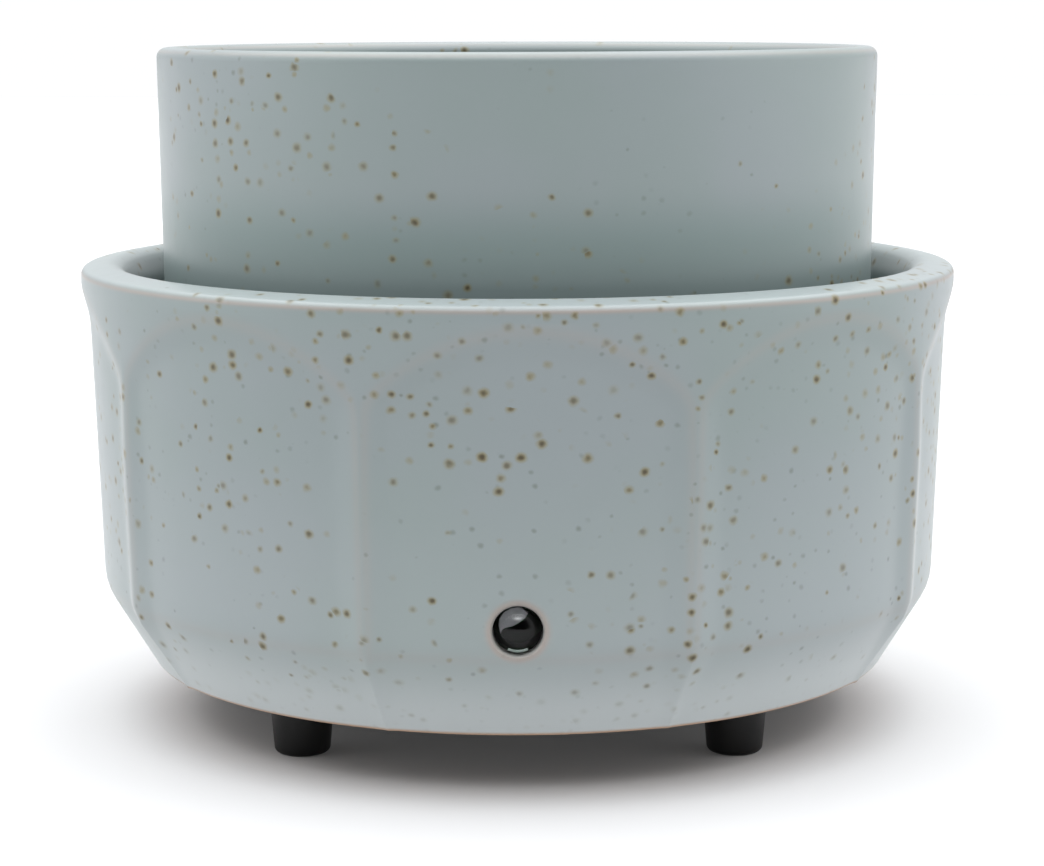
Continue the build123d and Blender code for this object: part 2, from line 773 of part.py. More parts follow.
# Clamping screws of the block
with BuildPart() as terminal_screws:
    with BuildSketch(Plane.XY.offset(block_top - way_screw_length)):
        with Locations(*[(place, block_distance) for place in way_places]):
            Circle(way_screw_radius)
    extrude(amount=way_screw_length - slip_gap)
    with BuildSketch(Plane.XY.offset(block_top - slip_gap)):
        with Locations(*[(place, block_distance) for place in way_places]):
            Rectangle(2 * way_screw_radius, slot_width / 2)
    extrude(amount=-slot_recess, mode=Mode.SUBTRACT)
save(terminal_screws.part, "terminal_screws")

# Screw that fastens the block to its pedestal
with BuildPart() as block_screw:
    with BuildSketch(Plane.XY.offset(block_top)):
        with Locations((0, block_distance)):
            Circle(block_head_radius)
    extrude(amount=block_head_height)
    with BuildSketch(Plane.XY.offset(block_top)):
        with Locations((0, block_distance)):
            Circle(block_screw_radius)
    extrude(amount=-block_height - pedestal_height)
save(block_screw.part, "block_screw")

# Indicator lamp: a clear domed lens, its barrel and a rear flange
lamp_front = -lamp_wall - lamp_stand_out
lamp_rear = lamp_front + lamp_dome_rise + lamp_body_length
lamp_dome_radius = (lamp_radius**2 + lamp_dome_rise**2) / (2 * lamp_dome_rise)
lamp_inner_wall = wall_radius(lamp_height - holder_radius) - base_wall
with BuildPart() as indicator_lamp:
    with BuildSketch(Plane.YZ):
        with BuildLine():
            Line((lamp_front, lamp_height), (lamp_rear, lamp_height))
            Line((lamp_rear, lamp_height), (lamp_rear, lamp_height + lamp_flange_radius))
            Line(
                (lamp_rear, lamp_height + lamp_flange_radius),
                (lamp_rear - lamp_flange_thickness, lamp_height + lamp_flange_radius),
            )
            Line(
                (lamp_rear - lamp_flange_thickness, lamp_height + lamp_flange_radius),
                (lamp_rear - lamp_flange_thickness, lamp_height + lamp_radius),
            )
            Line(
                (lamp_rear - lamp_flange_thickness, lamp_height + lamp_radius),
                (lamp_front + lamp_dome_rise, lamp_height + lamp_radius),
            )
            RadiusArc(
                (lamp_front + lamp_dome_rise, lamp_height + lamp_radius),
                (lamp_front, lamp_height),
                -lamp_dome_radius,
            )
        make_face()
    revolve(axis=Axis((0, 0, lamp_height), (0, 1, 0)))
save(indicator_lamp.part, "indicator_lamp")

# Holder that seats the lamp against the inside of the wall
holder_front = -sqrt(lamp_inner_wall**2 - holder_radius**2) + holder_gap
holder_plane = Plane((0, holder_front, lamp_height), x_dir=(-1, 0, 0), z_dir=(0, 1, 0))
with BuildPart() as lamp_holder:
    with BuildSketch(holder_plane):
        Circle(holder_radius)
        Circle(lamp_radius + fit_gap, mode=Mode.SUBTRACT)
    extrude(amount=lamp_rear - lamp_flange_thickness - holder_front)
save(lamp_holder.part, "lamp_holder")

# Small board behind the lamp, and its resistor
board_rear = lamp_rear + board_thickness
with BuildPart() as lamp_board:
    with BuildSketch(Plane((0, lamp_rear, lamp_height), x_dir=(-1, 0, 0), z_dir=(0, 1, 0))):
        Rectangle(board_width, board_height)
    extrude(amount=board_thickness)
save(lamp_board.part, "lamp_board")
resistor_place = (0, board_rear + resistor_radius, lamp_height + resistor_rise)
with BuildPart() as lamp_resistor:
    with BuildSketch(Plane(resistor_place, x_dir=(0, 1, 0), z_dir=(1, 0, 0))):
        Circle(resistor_radius)
    extrude(amount=resistor_length / 2, both=True)
    chamfer(lamp_resistor.edges().filter_by(GeomType.CIRCLE), resistor_bevel)
save(lamp_resistor.part, "lamp_resistor")

# Lined cord inlet at the back, with a flange on each side of the wall
inlet_inner_wall = wall_radius(inlet_height - grommet_inner_flange) - base_wall
grommet_inner_face = sqrt(inlet_inner_wall**2 - grommet_inner_flange**2) - fit_gap
grommet_outer_face = inlet_face + grommet_flange_thickness
grommet_neck = inlet_hole_radius - fit_gap
with BuildPart() as cord_grommet:
    with BuildSketch(Plane.YZ):
        with BuildLine():
            Polyline(
                (grommet_outer_face, inlet_height + grommet_bore),
                (grommet_outer_face, inlet_height + grommet_flange_radius - grommet_edge_bevel),
                (grommet_outer_face - grommet_edge_bevel, inlet_height + grommet_flange_radius),
                (inlet_face, inlet_height + grommet_flange_radius),
                (inlet_face, inlet_height + grommet_neck),
                (grommet_inner_face, inlet_height + grommet_neck),
                (grommet_inner_face, inlet_height + grommet_inner_flange),
                (grommet_inner_face - grommet_flange_thickness, inlet_height + grommet_inner_flange),
                (grommet_inner_face - grommet_flange_thickness, inlet_height + grommet_bore),
                close=True,
            )
        make_face()
    revolve(axis=Axis((0, 0, inlet_height), (0, 1, 0)))
save(cord_grommet.part, "cord_grommet")


def lead(points, bends):
    """One insulated lead along straight runs joined by tangent arcs."""
    start, following = Vector(*points[0]), Vector(*points[1])
    with BuildPart() as wire:
        with BuildLine():
            FilletPolyline(*points, radius=bends)
        with BuildSketch(Plane(start, z_dir=following - start)):
            Circle(lead_radius)
        sweep()
    return wire.part


# Leads: heater to block, fuse to heater, fuse to block, and the lamp's pair
outer_way = way_places[-1]
inner_way = way_places[-2]
way_run_start = block_front - lead_way_run
neutral_lead = lead(
    [
        (*neutral_drop[:2], ribbon_bottom),
        (*neutral_drop[:2], lead_crossing_height),
        (-outer_way, way_run_start, lead_crossing_height),
        (-outer_way, way_run_start, way_level),
        (-outer_way, block_front, way_level),
    ],
    [lead_bend, lead_bend, lead_bend],
)
save(neutral_lead, "neutral_lead")

wire_end = fuse_length / 2 + fuse_wire_length
fuse_tab = tab_points[1]
fuse_lead_level = fuse_level - fuse_lead_drop
fuse_lead = lead(
    [
        (-wire_end, fuse_offset, fuse_level),
        (-wire_end - lead_fuse_run, fuse_offset, fuse_level),
        (-wire_end - lead_fuse_run, fuse_offset + fuse_lead_back, fuse_lead_level),
        (*fuse_tab[:2], fuse_lead_level),
        (*fuse_tab[:2], ribbon_bottom),
    ],
    [lead_tight_bend, lead_bend, lead_bend],
)
save(fuse_lead, "fuse_lead")

live_lead = lead(
    [
        (wire_end, fuse_offset, fuse_level),
        (live_turn_x, fuse_offset, fuse_level),
        (live_turn_x, fuse_offset, way_level),
        (outer_way, way_run_start, way_level),
        (outer_way, block_front, way_level),
    ],
    [lead_tight_bend, lead_bend, lead_bend],
)
save(live_lead, "live_lead")

with BuildPart() as lamp_leads:
    for side in (-1, 1):
        route = [
            (side * board_lead_offset, board_rear, lamp_height - board_lead_drop),
            (side * board_lead_offset, board_rear + lamp_lead_run, lamp_height - board_lead_drop),
            (side * lamp_lead_spread, -lamp_lead_front, way_level),
            (side * lamp_lead_spread, way_run_start - lamp_lead_gap, way_level),
            (side * inner_way, way_run_start, way_level),
            (side * inner_way, block_front, way_level),
        ]
        add(lead(route, [lead_bend, lead_bend, lead_bend, lead_bend]))
save(lamp_leads.part, "lamp_leads")
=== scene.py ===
"""Looks of a two-in-one ceramic wax melt warmer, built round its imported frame."""
from functools import wraps
from math import atan, cos, pi, radians, sin, tan
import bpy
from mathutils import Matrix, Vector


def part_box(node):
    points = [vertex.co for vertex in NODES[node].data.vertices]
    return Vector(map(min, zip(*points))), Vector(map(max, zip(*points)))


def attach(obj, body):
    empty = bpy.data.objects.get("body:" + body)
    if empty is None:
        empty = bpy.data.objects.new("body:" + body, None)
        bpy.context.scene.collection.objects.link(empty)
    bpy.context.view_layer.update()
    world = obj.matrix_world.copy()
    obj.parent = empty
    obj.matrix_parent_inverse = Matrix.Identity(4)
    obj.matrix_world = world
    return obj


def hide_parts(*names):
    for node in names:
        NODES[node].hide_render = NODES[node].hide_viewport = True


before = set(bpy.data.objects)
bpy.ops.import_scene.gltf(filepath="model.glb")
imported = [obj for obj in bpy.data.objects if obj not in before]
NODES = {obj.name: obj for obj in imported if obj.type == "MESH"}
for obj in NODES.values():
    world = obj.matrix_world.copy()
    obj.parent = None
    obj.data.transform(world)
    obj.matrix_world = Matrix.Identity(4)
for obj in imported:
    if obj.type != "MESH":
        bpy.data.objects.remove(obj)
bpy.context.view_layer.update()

from types import SimpleNamespace

import bpy
import numpy as np
from bpy.props import FloatProperty, FloatVectorProperty, IntProperty, PointerProperty
from bpy.types import Operator, Panel, PropertyGroup
from mathutils import Matrix, Vector

bl_info = {
    "name": "Wax melt warmer",
    "version": (1, 0, 0),
    "blender": (4, 5, 0),
    "location": "3D View > Sidebar > Warmer",
    "description": "Dresses a ceramic wax melt warmer in glaze, rubber, metal and glass",
    "category": "Object",
}

MM = 0.001
FINE_COLUMNS = 96  # round the lamp and the holes
DISH_COLUMNS = 480  # round the dish
LENS_STEPS = 24  # from the lens's edge to its middle
PANEL_COLUMNS = 62  # across one panel of the base
CROWDING = 0.5  # of those columns towards the ribs
UPRIGHT_SOFTNESS = 0.1 * MM  # where ribs and panels stop leaning
COLLAR_SOFTNESS = 0.05 * MM  # where the ribs meet the collar
CREST_WIDTH = 0.24 * MM  # of the broken glaze along a crest
PROUD_RIB = 0.6 * MM  # height of a rib from which its crest is fully broken
HOLE_DEPTH = 11 * MM  # how far the lamp's hole and the inlet are cut into the wall
BASE_LOW, BASE_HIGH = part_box("base_housing")
DISH_LOW, DISH_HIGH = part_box("wax_dish")
LAMP_LOW, LAMP_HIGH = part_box("indicator_lamp")
LAMP_HEIGHT = (LAMP_LOW.z + LAMP_HIGH.z) / 2
PLATE_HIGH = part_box("hot_plate")[1]
GROMMET_LOW, GROMMET_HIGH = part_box("cord_grommet")
COVER_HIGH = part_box("bottom_cover")[1]


def number(name, description, default, **limits):
    """A number that a user may change."""
    return FloatProperty(name=name, description=description, default=default, **limits)


def length(name, description, millimetres):
    """A size, kept in metres, that a user may change."""
    return number(name, description, millimetres * MM, unit="LENGTH", precision=5)


def share(name, description, default):
    """A number from 0 to 1 that a user may change."""
    return number(name, description, default, min=0.0, max=1.0)


def colour(name, description, default):
    """A linear colour that a user may change."""
    limits = {"subtype": "COLOR", "size": 3, "min": 0.0, "max": 1.0}
    return FloatVectorProperty(name=name, description=description, default=default, **limits)


class WarmerBaseSettings(PropertyGroup):
    """Sizes of the panelled ceramic base."""

    panels: IntProperty(name="Panels", description="Arched panels round the base", default=9, min=3)
    turn: number("Turn", "Turn of the panels from the lamp", radians(1.4), subtype="ANGLE")
    foot_radius: length("Lower edge", "Radius of the panels at the lower edge", 59.4)
    knee_height: length("Knee height", "Level of the bend low on the wall", 22.3)
    knee_inset: length("Knee inset", "Rim's outside to the panels at the knee", 2.7)
    wall_top_inset: length("Wall inset", "Rim's outside to the panels' top", 1.2)
    wall_top_drop: length("Wall drop", "Rim's top to the panels' top", 5.4)
    rib_height: length("Rib height", "How far the ribs stand out at the knee", 1.15)
    rib_foot: length("Rib foot", "How far the ribs stand out at the lower edge", 0.05)
    rib_land: length("Rib land", "Width of the round stretch along a rib", 1.2)
    shoulder_inset: length("Shoulder inset", "Rim's outside to the upright ribs", 0.65)
    shoulder_drop: length("Shoulder drop", "Rim's top to the upright ribs", 27.4)
    collar_drop: length("Collar drop", "Rim's top to the collar's start", 17.4)
    scoop_drop: length("Scoop drop", "Rim's top to the arches' start", 18.5)
    crown_drop: length("Crown drop", "Rim's top to the arches' crowns", 4.1)
    swing_rise: length("Swing rise", "Height of the arches' turning axis above the rim", 51.6)
    crest_softness: length("Crest softness", "Rounding of the ribs and arches", 0.32)
    valley_softness: length("Valley softness", "Rounding where a rib meets its panel", 0.35)
    knee_softness: length("Knee softness", "Rounding of the bend low on the wall", 0.5)
    bend_softness: length("Bend softness", "Rounding where the arches turn out", 0.6)
    rim_outer_round: length("Rim outer round", "Rounding outside the rim", 3.0)
    rim_fall: length("Rim fall", "How far the rim slopes down to its outer edge", 0.73)
    rim_edge: length("Rim edge", "Rounding of that edge", 1.2)
    rim_slope: length("Rim slope", "How far the rim slopes down into the well", 3.6)
    rim_width: length("Rim width", "From the well to the rim's outside", 8.2)


class WarmerDishSettings(PropertyGroup):
    """Sizes of the wax dish."""

    wall: length("Wall", "Thickness of the dish's wall", 4.4)
    floor: length("Floor", "Thickness of the dish's floor", 5.0)
    taper: length("Taper", "How much narrower the dish is at its belly", 0.5)
    draft: length("Draft", "How much narrower the bowl is at its floor", 1.2)
    belly_round: length("Belly round", "Rounding under the dish", 11.0)
    bowl_round: length("Bowl round", "Rounding inside the bowl", 10.0)
    shoulder_rise: length("Shoulder rise", "From the underside to the straight wall", 13.2)
    foot_rise: length("Foot rise", "Height of the foot ring", 1.8)
    foot_radius: length("Foot radius", "Outside of the foot ring", 38.0)
    foot_width: length("Foot width", "Width of the foot ring", 4.0)
    outer_lip_round: length("Outer lip", "Rounding outside the lip", 1.5)
    inner_lip_round: length("Inner lip", "Rounding inside the lip", 2.0)


class WarmerGlazeSettings(PropertyGroup):
    """Colours and specks of the glaze."""

    mint: colour("Mint", "The glaze in most places", (0.219, 0.264, 0.261))
    pale: colour("Pale", "The glaze in the patches that are paler", (0.231, 0.267, 0.276))
    # Partly painted shade: this darker, greener colour lies low on the dish where the well shades
    # it, and partly stands for pooled glaze
    pooled_glaze_and_shade: colour("Thick", "The glaze that has gathered low on the dish", (0.170, 0.224, 0.219))
    # Painted light: on the base this paler colour stands in for light thrown up from the floor
    # below the knee and light from above near the rim's top
    thin_and_painted_light: colour("Thin", "The glaze that has run thin below the knee", (0.485, 0.525, 0.530))
    warm: colour("Warm edge", "The body that shows through at the edges", (0.355, 0.275, 0.235))
    clay: colour("Clay", "The bare clay at the lower edge", (0.46, 0.30, 0.20))
    speck_dark: colour("Dark speck", "Middle of an iron speck", (0.045, 0.031, 0.010))
    speck_halo: colour("Speck halo", "Edge of an iron speck", (0.20, 0.158, 0.045))
    speck_faint: colour("Faint speck", "A speck that lies under the glaze", (0.10, 0.115, 0.09))
    roughness: share("Roughness", "Roughness of the satin glaze", 0.33)
    base_specks: share("Base specks", "How many of the possible specks the base has", 0.58)
    dish_specks: share("Dish specks", "How many of the possible specks the dish has", 0.2)


class WarmerLampSettings(PropertyGroup):
    """Sizes of the indicator lamp."""

    radius: length("Radius", "Radius of the lens", 3.4)
    dome_rise: length("Dome rise", "How far the lens bulges", 2.0)
    flange_radius: length("Flange radius", "Radius of the flange behind the lens", 4.8)
    flange_thickness: length("Flange thickness", "Thickness of that flange", 1.0)
    hole_gap: length("Hole gap", "Between the lens and its hole", 0.2)
    hole_flare: length("Hole flare", "Widening at the mouth of the hole", 0.9)


class WarmerStageSettings(PropertyGroup):
    """Camera, floor and light."""

    lens: number("Lens", "Focal length in millimetres", 94.655)
    distance: length("Distance", "Camera in front of the turning axis", 444.5)
    aside: length("Aside", "Camera to the right of the turning axis", 0.654)
    height: length("Height", "Camera above the floor", 113.64)
    pitch: number("Pitch", "Camera's look down", radians(8.859), subtype="ANGLE")
    roll: number("Roll", "Camera's roll", -0.0024, subtype="ANGLE")
    surround: colour("Surround", "Colour of the white surround", (0.982, 0.988, 1.0))
    side_light: number("Sides", "Light from the sides and back", 1.02, min=0.0)
    top_light: number("Top", "Light from above", 3.63, min=0.0)
    flank_share: share("Flanks", "Light added from left and right, as a share of the sides", 0.6)
    front_share: share("Front", "Light from beside the camera, as a share of the sides", 0.13)
    room_share: share("Room", "Light from behind the camera, as a share of the sides", 0.06)
    behind_share: share("Behind", "Light missing straight behind, as a share of the sides", 0.12)


SETTINGS = {
    "warmer_base": WarmerBaseSettings,
    "warmer_dish": WarmerDishSettings,
    "warmer_glaze": WarmerGlazeSettings,
    "warmer_lamp": WarmerLampSettings,
    "warmer_stage": WarmerStageSettings,
}


class Field:
    """A node's output that takes part in sums. Each operation adds a Math node to the tree."""

    def __init__(self, graph, socket):
        self.graph = graph
        self.socket = socket

    def __add__(self, other):
        return self.graph.math("ADD", self, other)

    def __radd__(self, other):
        return self.graph.math("ADD", other, self)

    def __sub__(self, other):
        return self.graph.math("SUBTRACT", self, other)

    def __rsub__(self, other):
        return self.graph.math("SUBTRACT", other, self)

    def __mul__(self, other):
        return self.graph.math("MULTIPLY", self, other)

    def __rmul__(self, other):
        return self.graph.math("MULTIPLY", other, self)

    def __truediv__(self, other):
        return self.graph.math("DIVIDE", self, other)

    def __rtruediv__(self, other):
        return self.graph.math("DIVIDE", other, self)

    def other(self, output):
        """Another output of the same node."""
        return Field(self.graph, self.socket.node.outputs[output])


class Graph:
    """A node tree that expressions are written into."""

    def __init__(self, tree):
        self.tree = tree

    def node(self, kind, settings=None, inputs=None, output=0):
        """One output of a new node, whose settings are set before its sockets."""
        made = self.tree.nodes.new(kind)
        for key, value in (settings or {}).items():
            setattr(made, key, value)
        for key, value in (inputs or {}).items():
            self.feed(made.inputs[key], value)
        return Field(self, made.outputs[output])

    def leave(self, kind, socket, value):
        """An output node that takes a field."""
        self.feed(self.tree.nodes.new(kind).inputs[socket], value)

    def feed(self, socket, value):
        """Link a field to a socket, or set the socket to a plain value."""
        if isinstance(value, Field):
            self.tree.links.new(value.socket, socket)
        else:
            socket.default_value = value

    def math(self, operation, *values):
        """A Math node."""
        return self.node("ShaderNodeMath", {"operation": operation}, dict(enumerate(values)))

    def split(self, value, kind="XYZ"):
        """The three parts of a vector, or of a colour if the kind is Color."""
        made = self.node(f"ShaderNodeSeparate{kind}", None, {0: value})
        return [made.other(part) for part in range(3)]

    def hypotenuse(self, first, second):
        """The long side over two fields that stand at a right angle."""
        return self.math("SQRT", first * first + second * second)

    def smallest(self, first, second, softness):
        """The smaller of two fields, rounded over where they meet."""
        gap = first - second
        return (first + second - self.math("SQRT", gap * gap + softness * softness)) * 0.5

    def largest(self, first, second, softness):
        """The larger of two fields, rounded over where they meet."""
        gap = first - second
        return (first + second + self.math("SQRT", gap * gap + softness * softness)) * 0.5

    def ease(self, value, low, high):
        """0 below low, 1 above high and a smooth rise between. low may be the larger."""
        return self.node(
            "ShaderNodeMapRange",
            {"interpolation_type": "SMOOTHSTEP"},
            {"Value": value, "From Min": low, "From Max": high},
        )

    def bell(self, value, width):
        """1 where a field is 0, falling to 0 about a width to either side."""
        return self.math("EXPONENT", value * value * (-1.0 / (width * width)))

    def tint(self, factor, first, second):
        """A mix of two colours."""
        inputs = {0: factor, 6: self.opaque(first), 7: self.opaque(second)}
        return self.node("ShaderNodeMix", {"data_type": "RGBA"}, inputs, output=2)

    def opaque(self, value):
        """A colour with an alpha of 1, or a field as it is."""
        return value if isinstance(value, Field) else (*value, 1.0)

    def place(self, scale=(1.0, 1.0, 1.0), centre=(0.0, 0.0, 0.0)):
        """Object coordinates about a centre, stretched along the axes."""
        spot = self.node("ShaderNodeTexCoord", output="Object")
        shift = tuple(-c * s for c, s in zip(centre, scale))
        inputs = {"Vector": spot, "Location": shift, "Scale": scale}
        return self.node("ShaderNodeMapping", None, inputs)

    def noise(self, scale, detail=2.0, where=None):
        """Noise from 0 to 1, with its scale in waves per metre."""
        inputs = {"Vector": where or self.place(), "Scale": scale, "Detail": detail}
        return self.node("ShaderNodeTexNoise", None, inputs)

    def bump(self, height, distance, normal=None):
        """A normal that follows a height field, whose full range is a distance in metres."""
        inputs = {"Height": height, "Distance": distance}
        if normal:
            inputs["Normal"] = normal
        return self.node("ShaderNodeBump", None, inputs, output="Normal")


def fresh_graph(owner):
    """The emptied node tree of a material or world."""
    owner.use_nodes = True
    owner.node_tree.nodes.clear()
    return Graph(owner.node_tree)


def shade(tint, amount):
    """A colour made darker or lighter."""
    return tuple(part * amount for part in tint)


def look(**constants):
    """Turn a function of a graph into one that takes a name and returns a material.

    The function gives the shader's varying sockets, and the constants go to other sockets.
    """

    def wrap(sockets):
        @wraps(sockets)
        def made(name, *values):
            material = bpy.data.materials.new(name)
            graph = fresh_graph(material)
            inputs = {key.replace("_", " "): value for key, value in constants.items()}
            inputs.update(sockets(graph, *values))
            shader = graph.node("ShaderNodeBsdfPrincipled", None, inputs)
            graph.leave("ShaderNodeOutputMaterial", "Surface", shader)
            return material

        return made

    return wrap


def specks(graph, amount, spacing, smallest, largest, seed):
    """Core and halo masks of specks, one to a cell of a random pattern, and their strength."""
    wander = graph.noise(900.0, 2.0).other("Color")
    where = graph.node(
        "ShaderNodeVectorMath",
        {"operation": "MULTIPLY_ADD"},
        {0: wander, 1: (0.45 * MM,) * 3, 2: graph.place((1.0, 1.0, 1.1), seed)},
    )
    inputs = {"Vector": where, "Scale": 1.0 / spacing}
    cells = graph.node("ShaderNodeTexVoronoi", None, inputs, output="Distance")
    chance, bulk, weight = graph.split(cells.other("Color"), "Color")
    crowd = graph.noise(30.0, 1.0, where=graph.place(centre=seed))
    present = graph.ease((crowd - 0.5) * 3.0 + amount - chance, 0.0, 0.04)
    distance = cells * spacing / (bulk * (largest - smallest) + smallest)
    core = graph.ease(distance, 0.95, 0.15) * present
    halo = graph.ease(distance, 1.5, 0.5) * present
    return core, halo, weight


@look(IOR=1.52)
def speckled_glaze(graph, settings, amount, edges):
    """Satin mint glaze with an amount of iron specks.

    edges(graph) gives four masks: where the glaze is darker and greener, partly pooled glaze and
    partly painted shade, or None; where it is paler, which on the base is painted light, where it
    is broken on an edge, and where the clay is bare.
    """
    pooled_and_shaded, run, broken, bare = edges(graph)
    drift = graph.ease(graph.noise(26.0, 3.0), 0.36, 0.66)
    ground = graph.tint(drift, settings.mint, settings.pale)
    # Darker, greener glaze low on the dish: partly pooled glaze, partly painted shade from the well
    if pooled_and_shaded is not None:
        ground = graph.tint(pooled_and_shaded, ground, settings.pooled_glaze_and_shade)
    # Paler glaze: on the base this is painted light from the floor and from above
    ground = graph.tint(run, ground, settings.thin_and_painted_light)
    ground = graph.tint(broken, ground, settings.warm)
    # Specks fade under the paler glaze, which on the base is painted light
    clear = 1.0 - graph.ease(run, 0.3, 0.8) * 0.8
    sunk, _, depth = specks(graph, amount, 2.3 * MM, 0.4 * MM, 0.75 * MM, (0.31, 0.17, 0.05))
    ground = graph.tint(sunk * (depth * 0.5 + 0.1) * clear, ground, settings.speck_faint)
    core, halo, weight = specks(graph, amount, 2.5 * MM, 0.42 * MM, 0.82 * MM, (0.11, 0.03, 0.02))
    ground = graph.tint(halo * (weight * 0.5 + 0.25) * clear, ground, settings.speck_halo)
    ground = graph.tint(core * (weight * 0.6 + 0.4) * clear, ground, settings.speck_dark)
    ground = graph.tint(bare, ground, settings.clay)
    cloud = graph.noise(260.0, 2.0)
    waves = graph.bump(graph.noise(60.0, 1.0), 0.05 * MM)
    return {
        "Base Color": ground,
        "Roughness": cloud * 0.06 + (settings.roughness - 0.03) + bare * 0.3,
        "Normal": graph.bump(cloud, 0.0008 * MM, waves),
    }


@look(Specular_IOR_Level=0.3)
def satin_rubber(graph, tint):
    """Moulded rubber with a fine skin."""
    grain = graph.noise(1500.0, 2.0)
    dust = graph.ease(graph.noise(120.0, 3.0), 0.5, 0.8)
    dusty = tuple(part * 1.6 + 0.01 for part in tint)
    return {
        "Base Color": graph.tint(dust * 0.5, tint, dusty),
        "Roughness": grain * 0.12 + 0.36,
        "Normal": graph.bump(grain, 0.01 * MM),
    }


@look()
def moulded_plastic(graph, tint):
    """Moulded plastic with a spark-eroded grain."""
    grain = graph.noise(2600.0, 1.0)
    cloud = graph.noise(70.0, 2.0)
    return {
        "Base Color": graph.tint(cloud, tint, shade(tint, 0.82)),
        "Roughness": grain * 0.1 + 0.46,
        "Normal": graph.bump(grain, 0.015 * MM),
    }


@look(Metallic=1.0)
def turned_metal(graph, tint, roughness):
    """Spun or turned metal: fine rings about the turning axis and a faint cloud of tarnish."""
    across, deep, _ = graph.split(graph.place())
    inputs = {"W": graph.hypotenuse(across, deep), "Scale": 3000.0, "Detail": 2.0}
    rings = graph.node("ShaderNodeTexNoise", {"noise_dimensions": "1D"}, inputs)
    cloud = graph.noise(55.0, 3.0)
    return {
        "Base Color": graph.tint(cloud, tint, shade(tint, 0.86)),
        "Roughness": rings * 0.14 + cloud * 0.08 + roughness,
        "Normal": graph.bump(rings, 0.006 * MM),
    }


@look(Metallic=1.0)
def sheet_metal(graph, tint, roughness):
    """Rolled sheet, with fine streaks along its rolling direction."""
    streaks = graph.noise(300.0, 3.0, where=graph.place(scale=(0.12, 6.0, 6.0)))
    return {
        "Base Color": graph.tint(graph.noise(60.0, 2.0), tint, shade(tint, 0.84)),
        "Roughness": streaks * 0.16 + roughness,
        "Normal": graph.bump(streaks, 0.006 * MM),
    }


@look(Metallic=1.0)
def plated_steel(graph, tint, stain):
    """Plated fasteners with a slight stain in the plating."""
    cloud = graph.noise(420.0, 3.0)
    return {
        "Base Color": graph.tint(graph.ease(cloud, 0.35, 0.75), tint, stain),
        "Roughness": cloud * 0.14 + 0.26,
        "Normal": graph.bump(graph.noise(3000.0, 1.0), 0.004 * MM),
    }


@look()
def pressed_mica(graph, tint, flake):
    """Pressed mica sheet made of overlapping flakes."""
    inputs = {"Vector": graph.place(scale=(1.0, 1.0, 0.2)), "Scale": 420.0}
    flakes = graph.node("ShaderNodeTexVoronoi", None, inputs, output="Color")
    grey = graph.node("ShaderNodeRGBToBW", None, {0: flakes})
    return {
        "Base Color": graph.tint(grey, tint, flake),
        "Roughness": grey * 0.3 + 0.35,
        "Normal": graph.bump(grey, 0.02 * MM),
    }


@look()
def lead_jacket(graph, tint):
    """Silicone jacket of an inner lead."""
    cloud = graph.noise(300.0, 2.0)
    return {
        "Base Color": graph.tint(cloud, tint, shade(tint, 0.8)),
        "Roughness": cloud * 0.15 + 0.42,
        "Normal": graph.bump(graph.noise(900.0, 1.0), 0.01 * MM),
    }


@look()
def lacquered_board(graph, tint, track):
    """Board with copper tracks under green lacquer."""
    settings = {"wave_type": "BANDS", "bands_direction": "Z", "wave_profile": "SAW"}
    inputs = {"Vector": graph.place(), "Scale": 260.0, "Distortion": 0.6}
    tracks = graph.node("ShaderNodeTexWave", settings, inputs, output="Fac")
    lines = graph.ease(tracks, 0.55, 0.6)
    return {
        "Base Color": graph.tint(lines, tint, track),
        "Roughness": graph.noise(500.0, 2.0) * 0.1 + 0.3,
        "Normal": graph.bump(lines, 0.03 * MM),
    }


@look()
def banded_resistor(graph, body, bands):
    """Lacquered resistor with plain colour bands along its length."""
    along = graph.split(graph.place())[0]
    ground = graph.tint(graph.noise(600.0, 2.0) * 0.4, body, shade(body, 0.7))
    for place, band in bands:
        aside = graph.math("ABSOLUTE", along - place)
        ground = graph.tint(graph.ease(aside, 0.32 * MM, 0.26 * MM), ground, band)
    return {"Base Color": ground, "Roughness": graph.noise(900.0, 1.0) * 0.1 + 0.35}


@look()
def leaded_frame(graph, cup_height):
    """Matt silver frame inside the lamp, with a painted highlight on its cup."""
    across, _, height = graph.split(graph.place())
    rise = (height - cup_height) / (0.17 * MM)
    # Painted highlight: a near-white spot where the frame's cup catches the light
    painted_glint = graph.bell(across / (0.42 * MM), 1.0) * graph.bell(rise, 1.0)
    cloud = graph.noise(1400.0, 2.0)
    ground = graph.tint(cloud, (0.20, 0.20, 0.215), (0.34, 0.34, 0.35))
    return {
        "Base Color": graph.tint(painted_glint, ground, (0.95, 0.95, 0.95)),
        "Roughness": cloud * 0.2 + 0.45,
        "Normal": graph.bump(cloud, 0.05 * MM),
    }


@look(Transmission_Weight=1.0, IOR=1.34)
def clear_lens(graph):
    """Clear moulded lens with a trace of haze."""
    haze = graph.noise(500.0, 2.0)
    return {
        "Base Color": graph.tint(haze, (0.93, 0.96, 0.96), (0.88, 0.91, 0.91)),
        "Roughness": haze * 0.03 + 0.01,
    }


@look(Roughness=0.9, Specular_IOR_Level=0.1, Emission_Strength=0.03)
def matt_floor(graph):
    """Matt pale floor that gives back a little light."""
    cloud = graph.noise(3.0, 2.0)
    return {"Base Color": graph.tint(cloud, (0.60, 0.60, 0.60), (0.585, 0.585, 0.59))}


def dress(material, *names):
    """Give CAD nodes a material."""
    for name in names:
        for slot in NODES[name].material_slots:
            slot.material = material


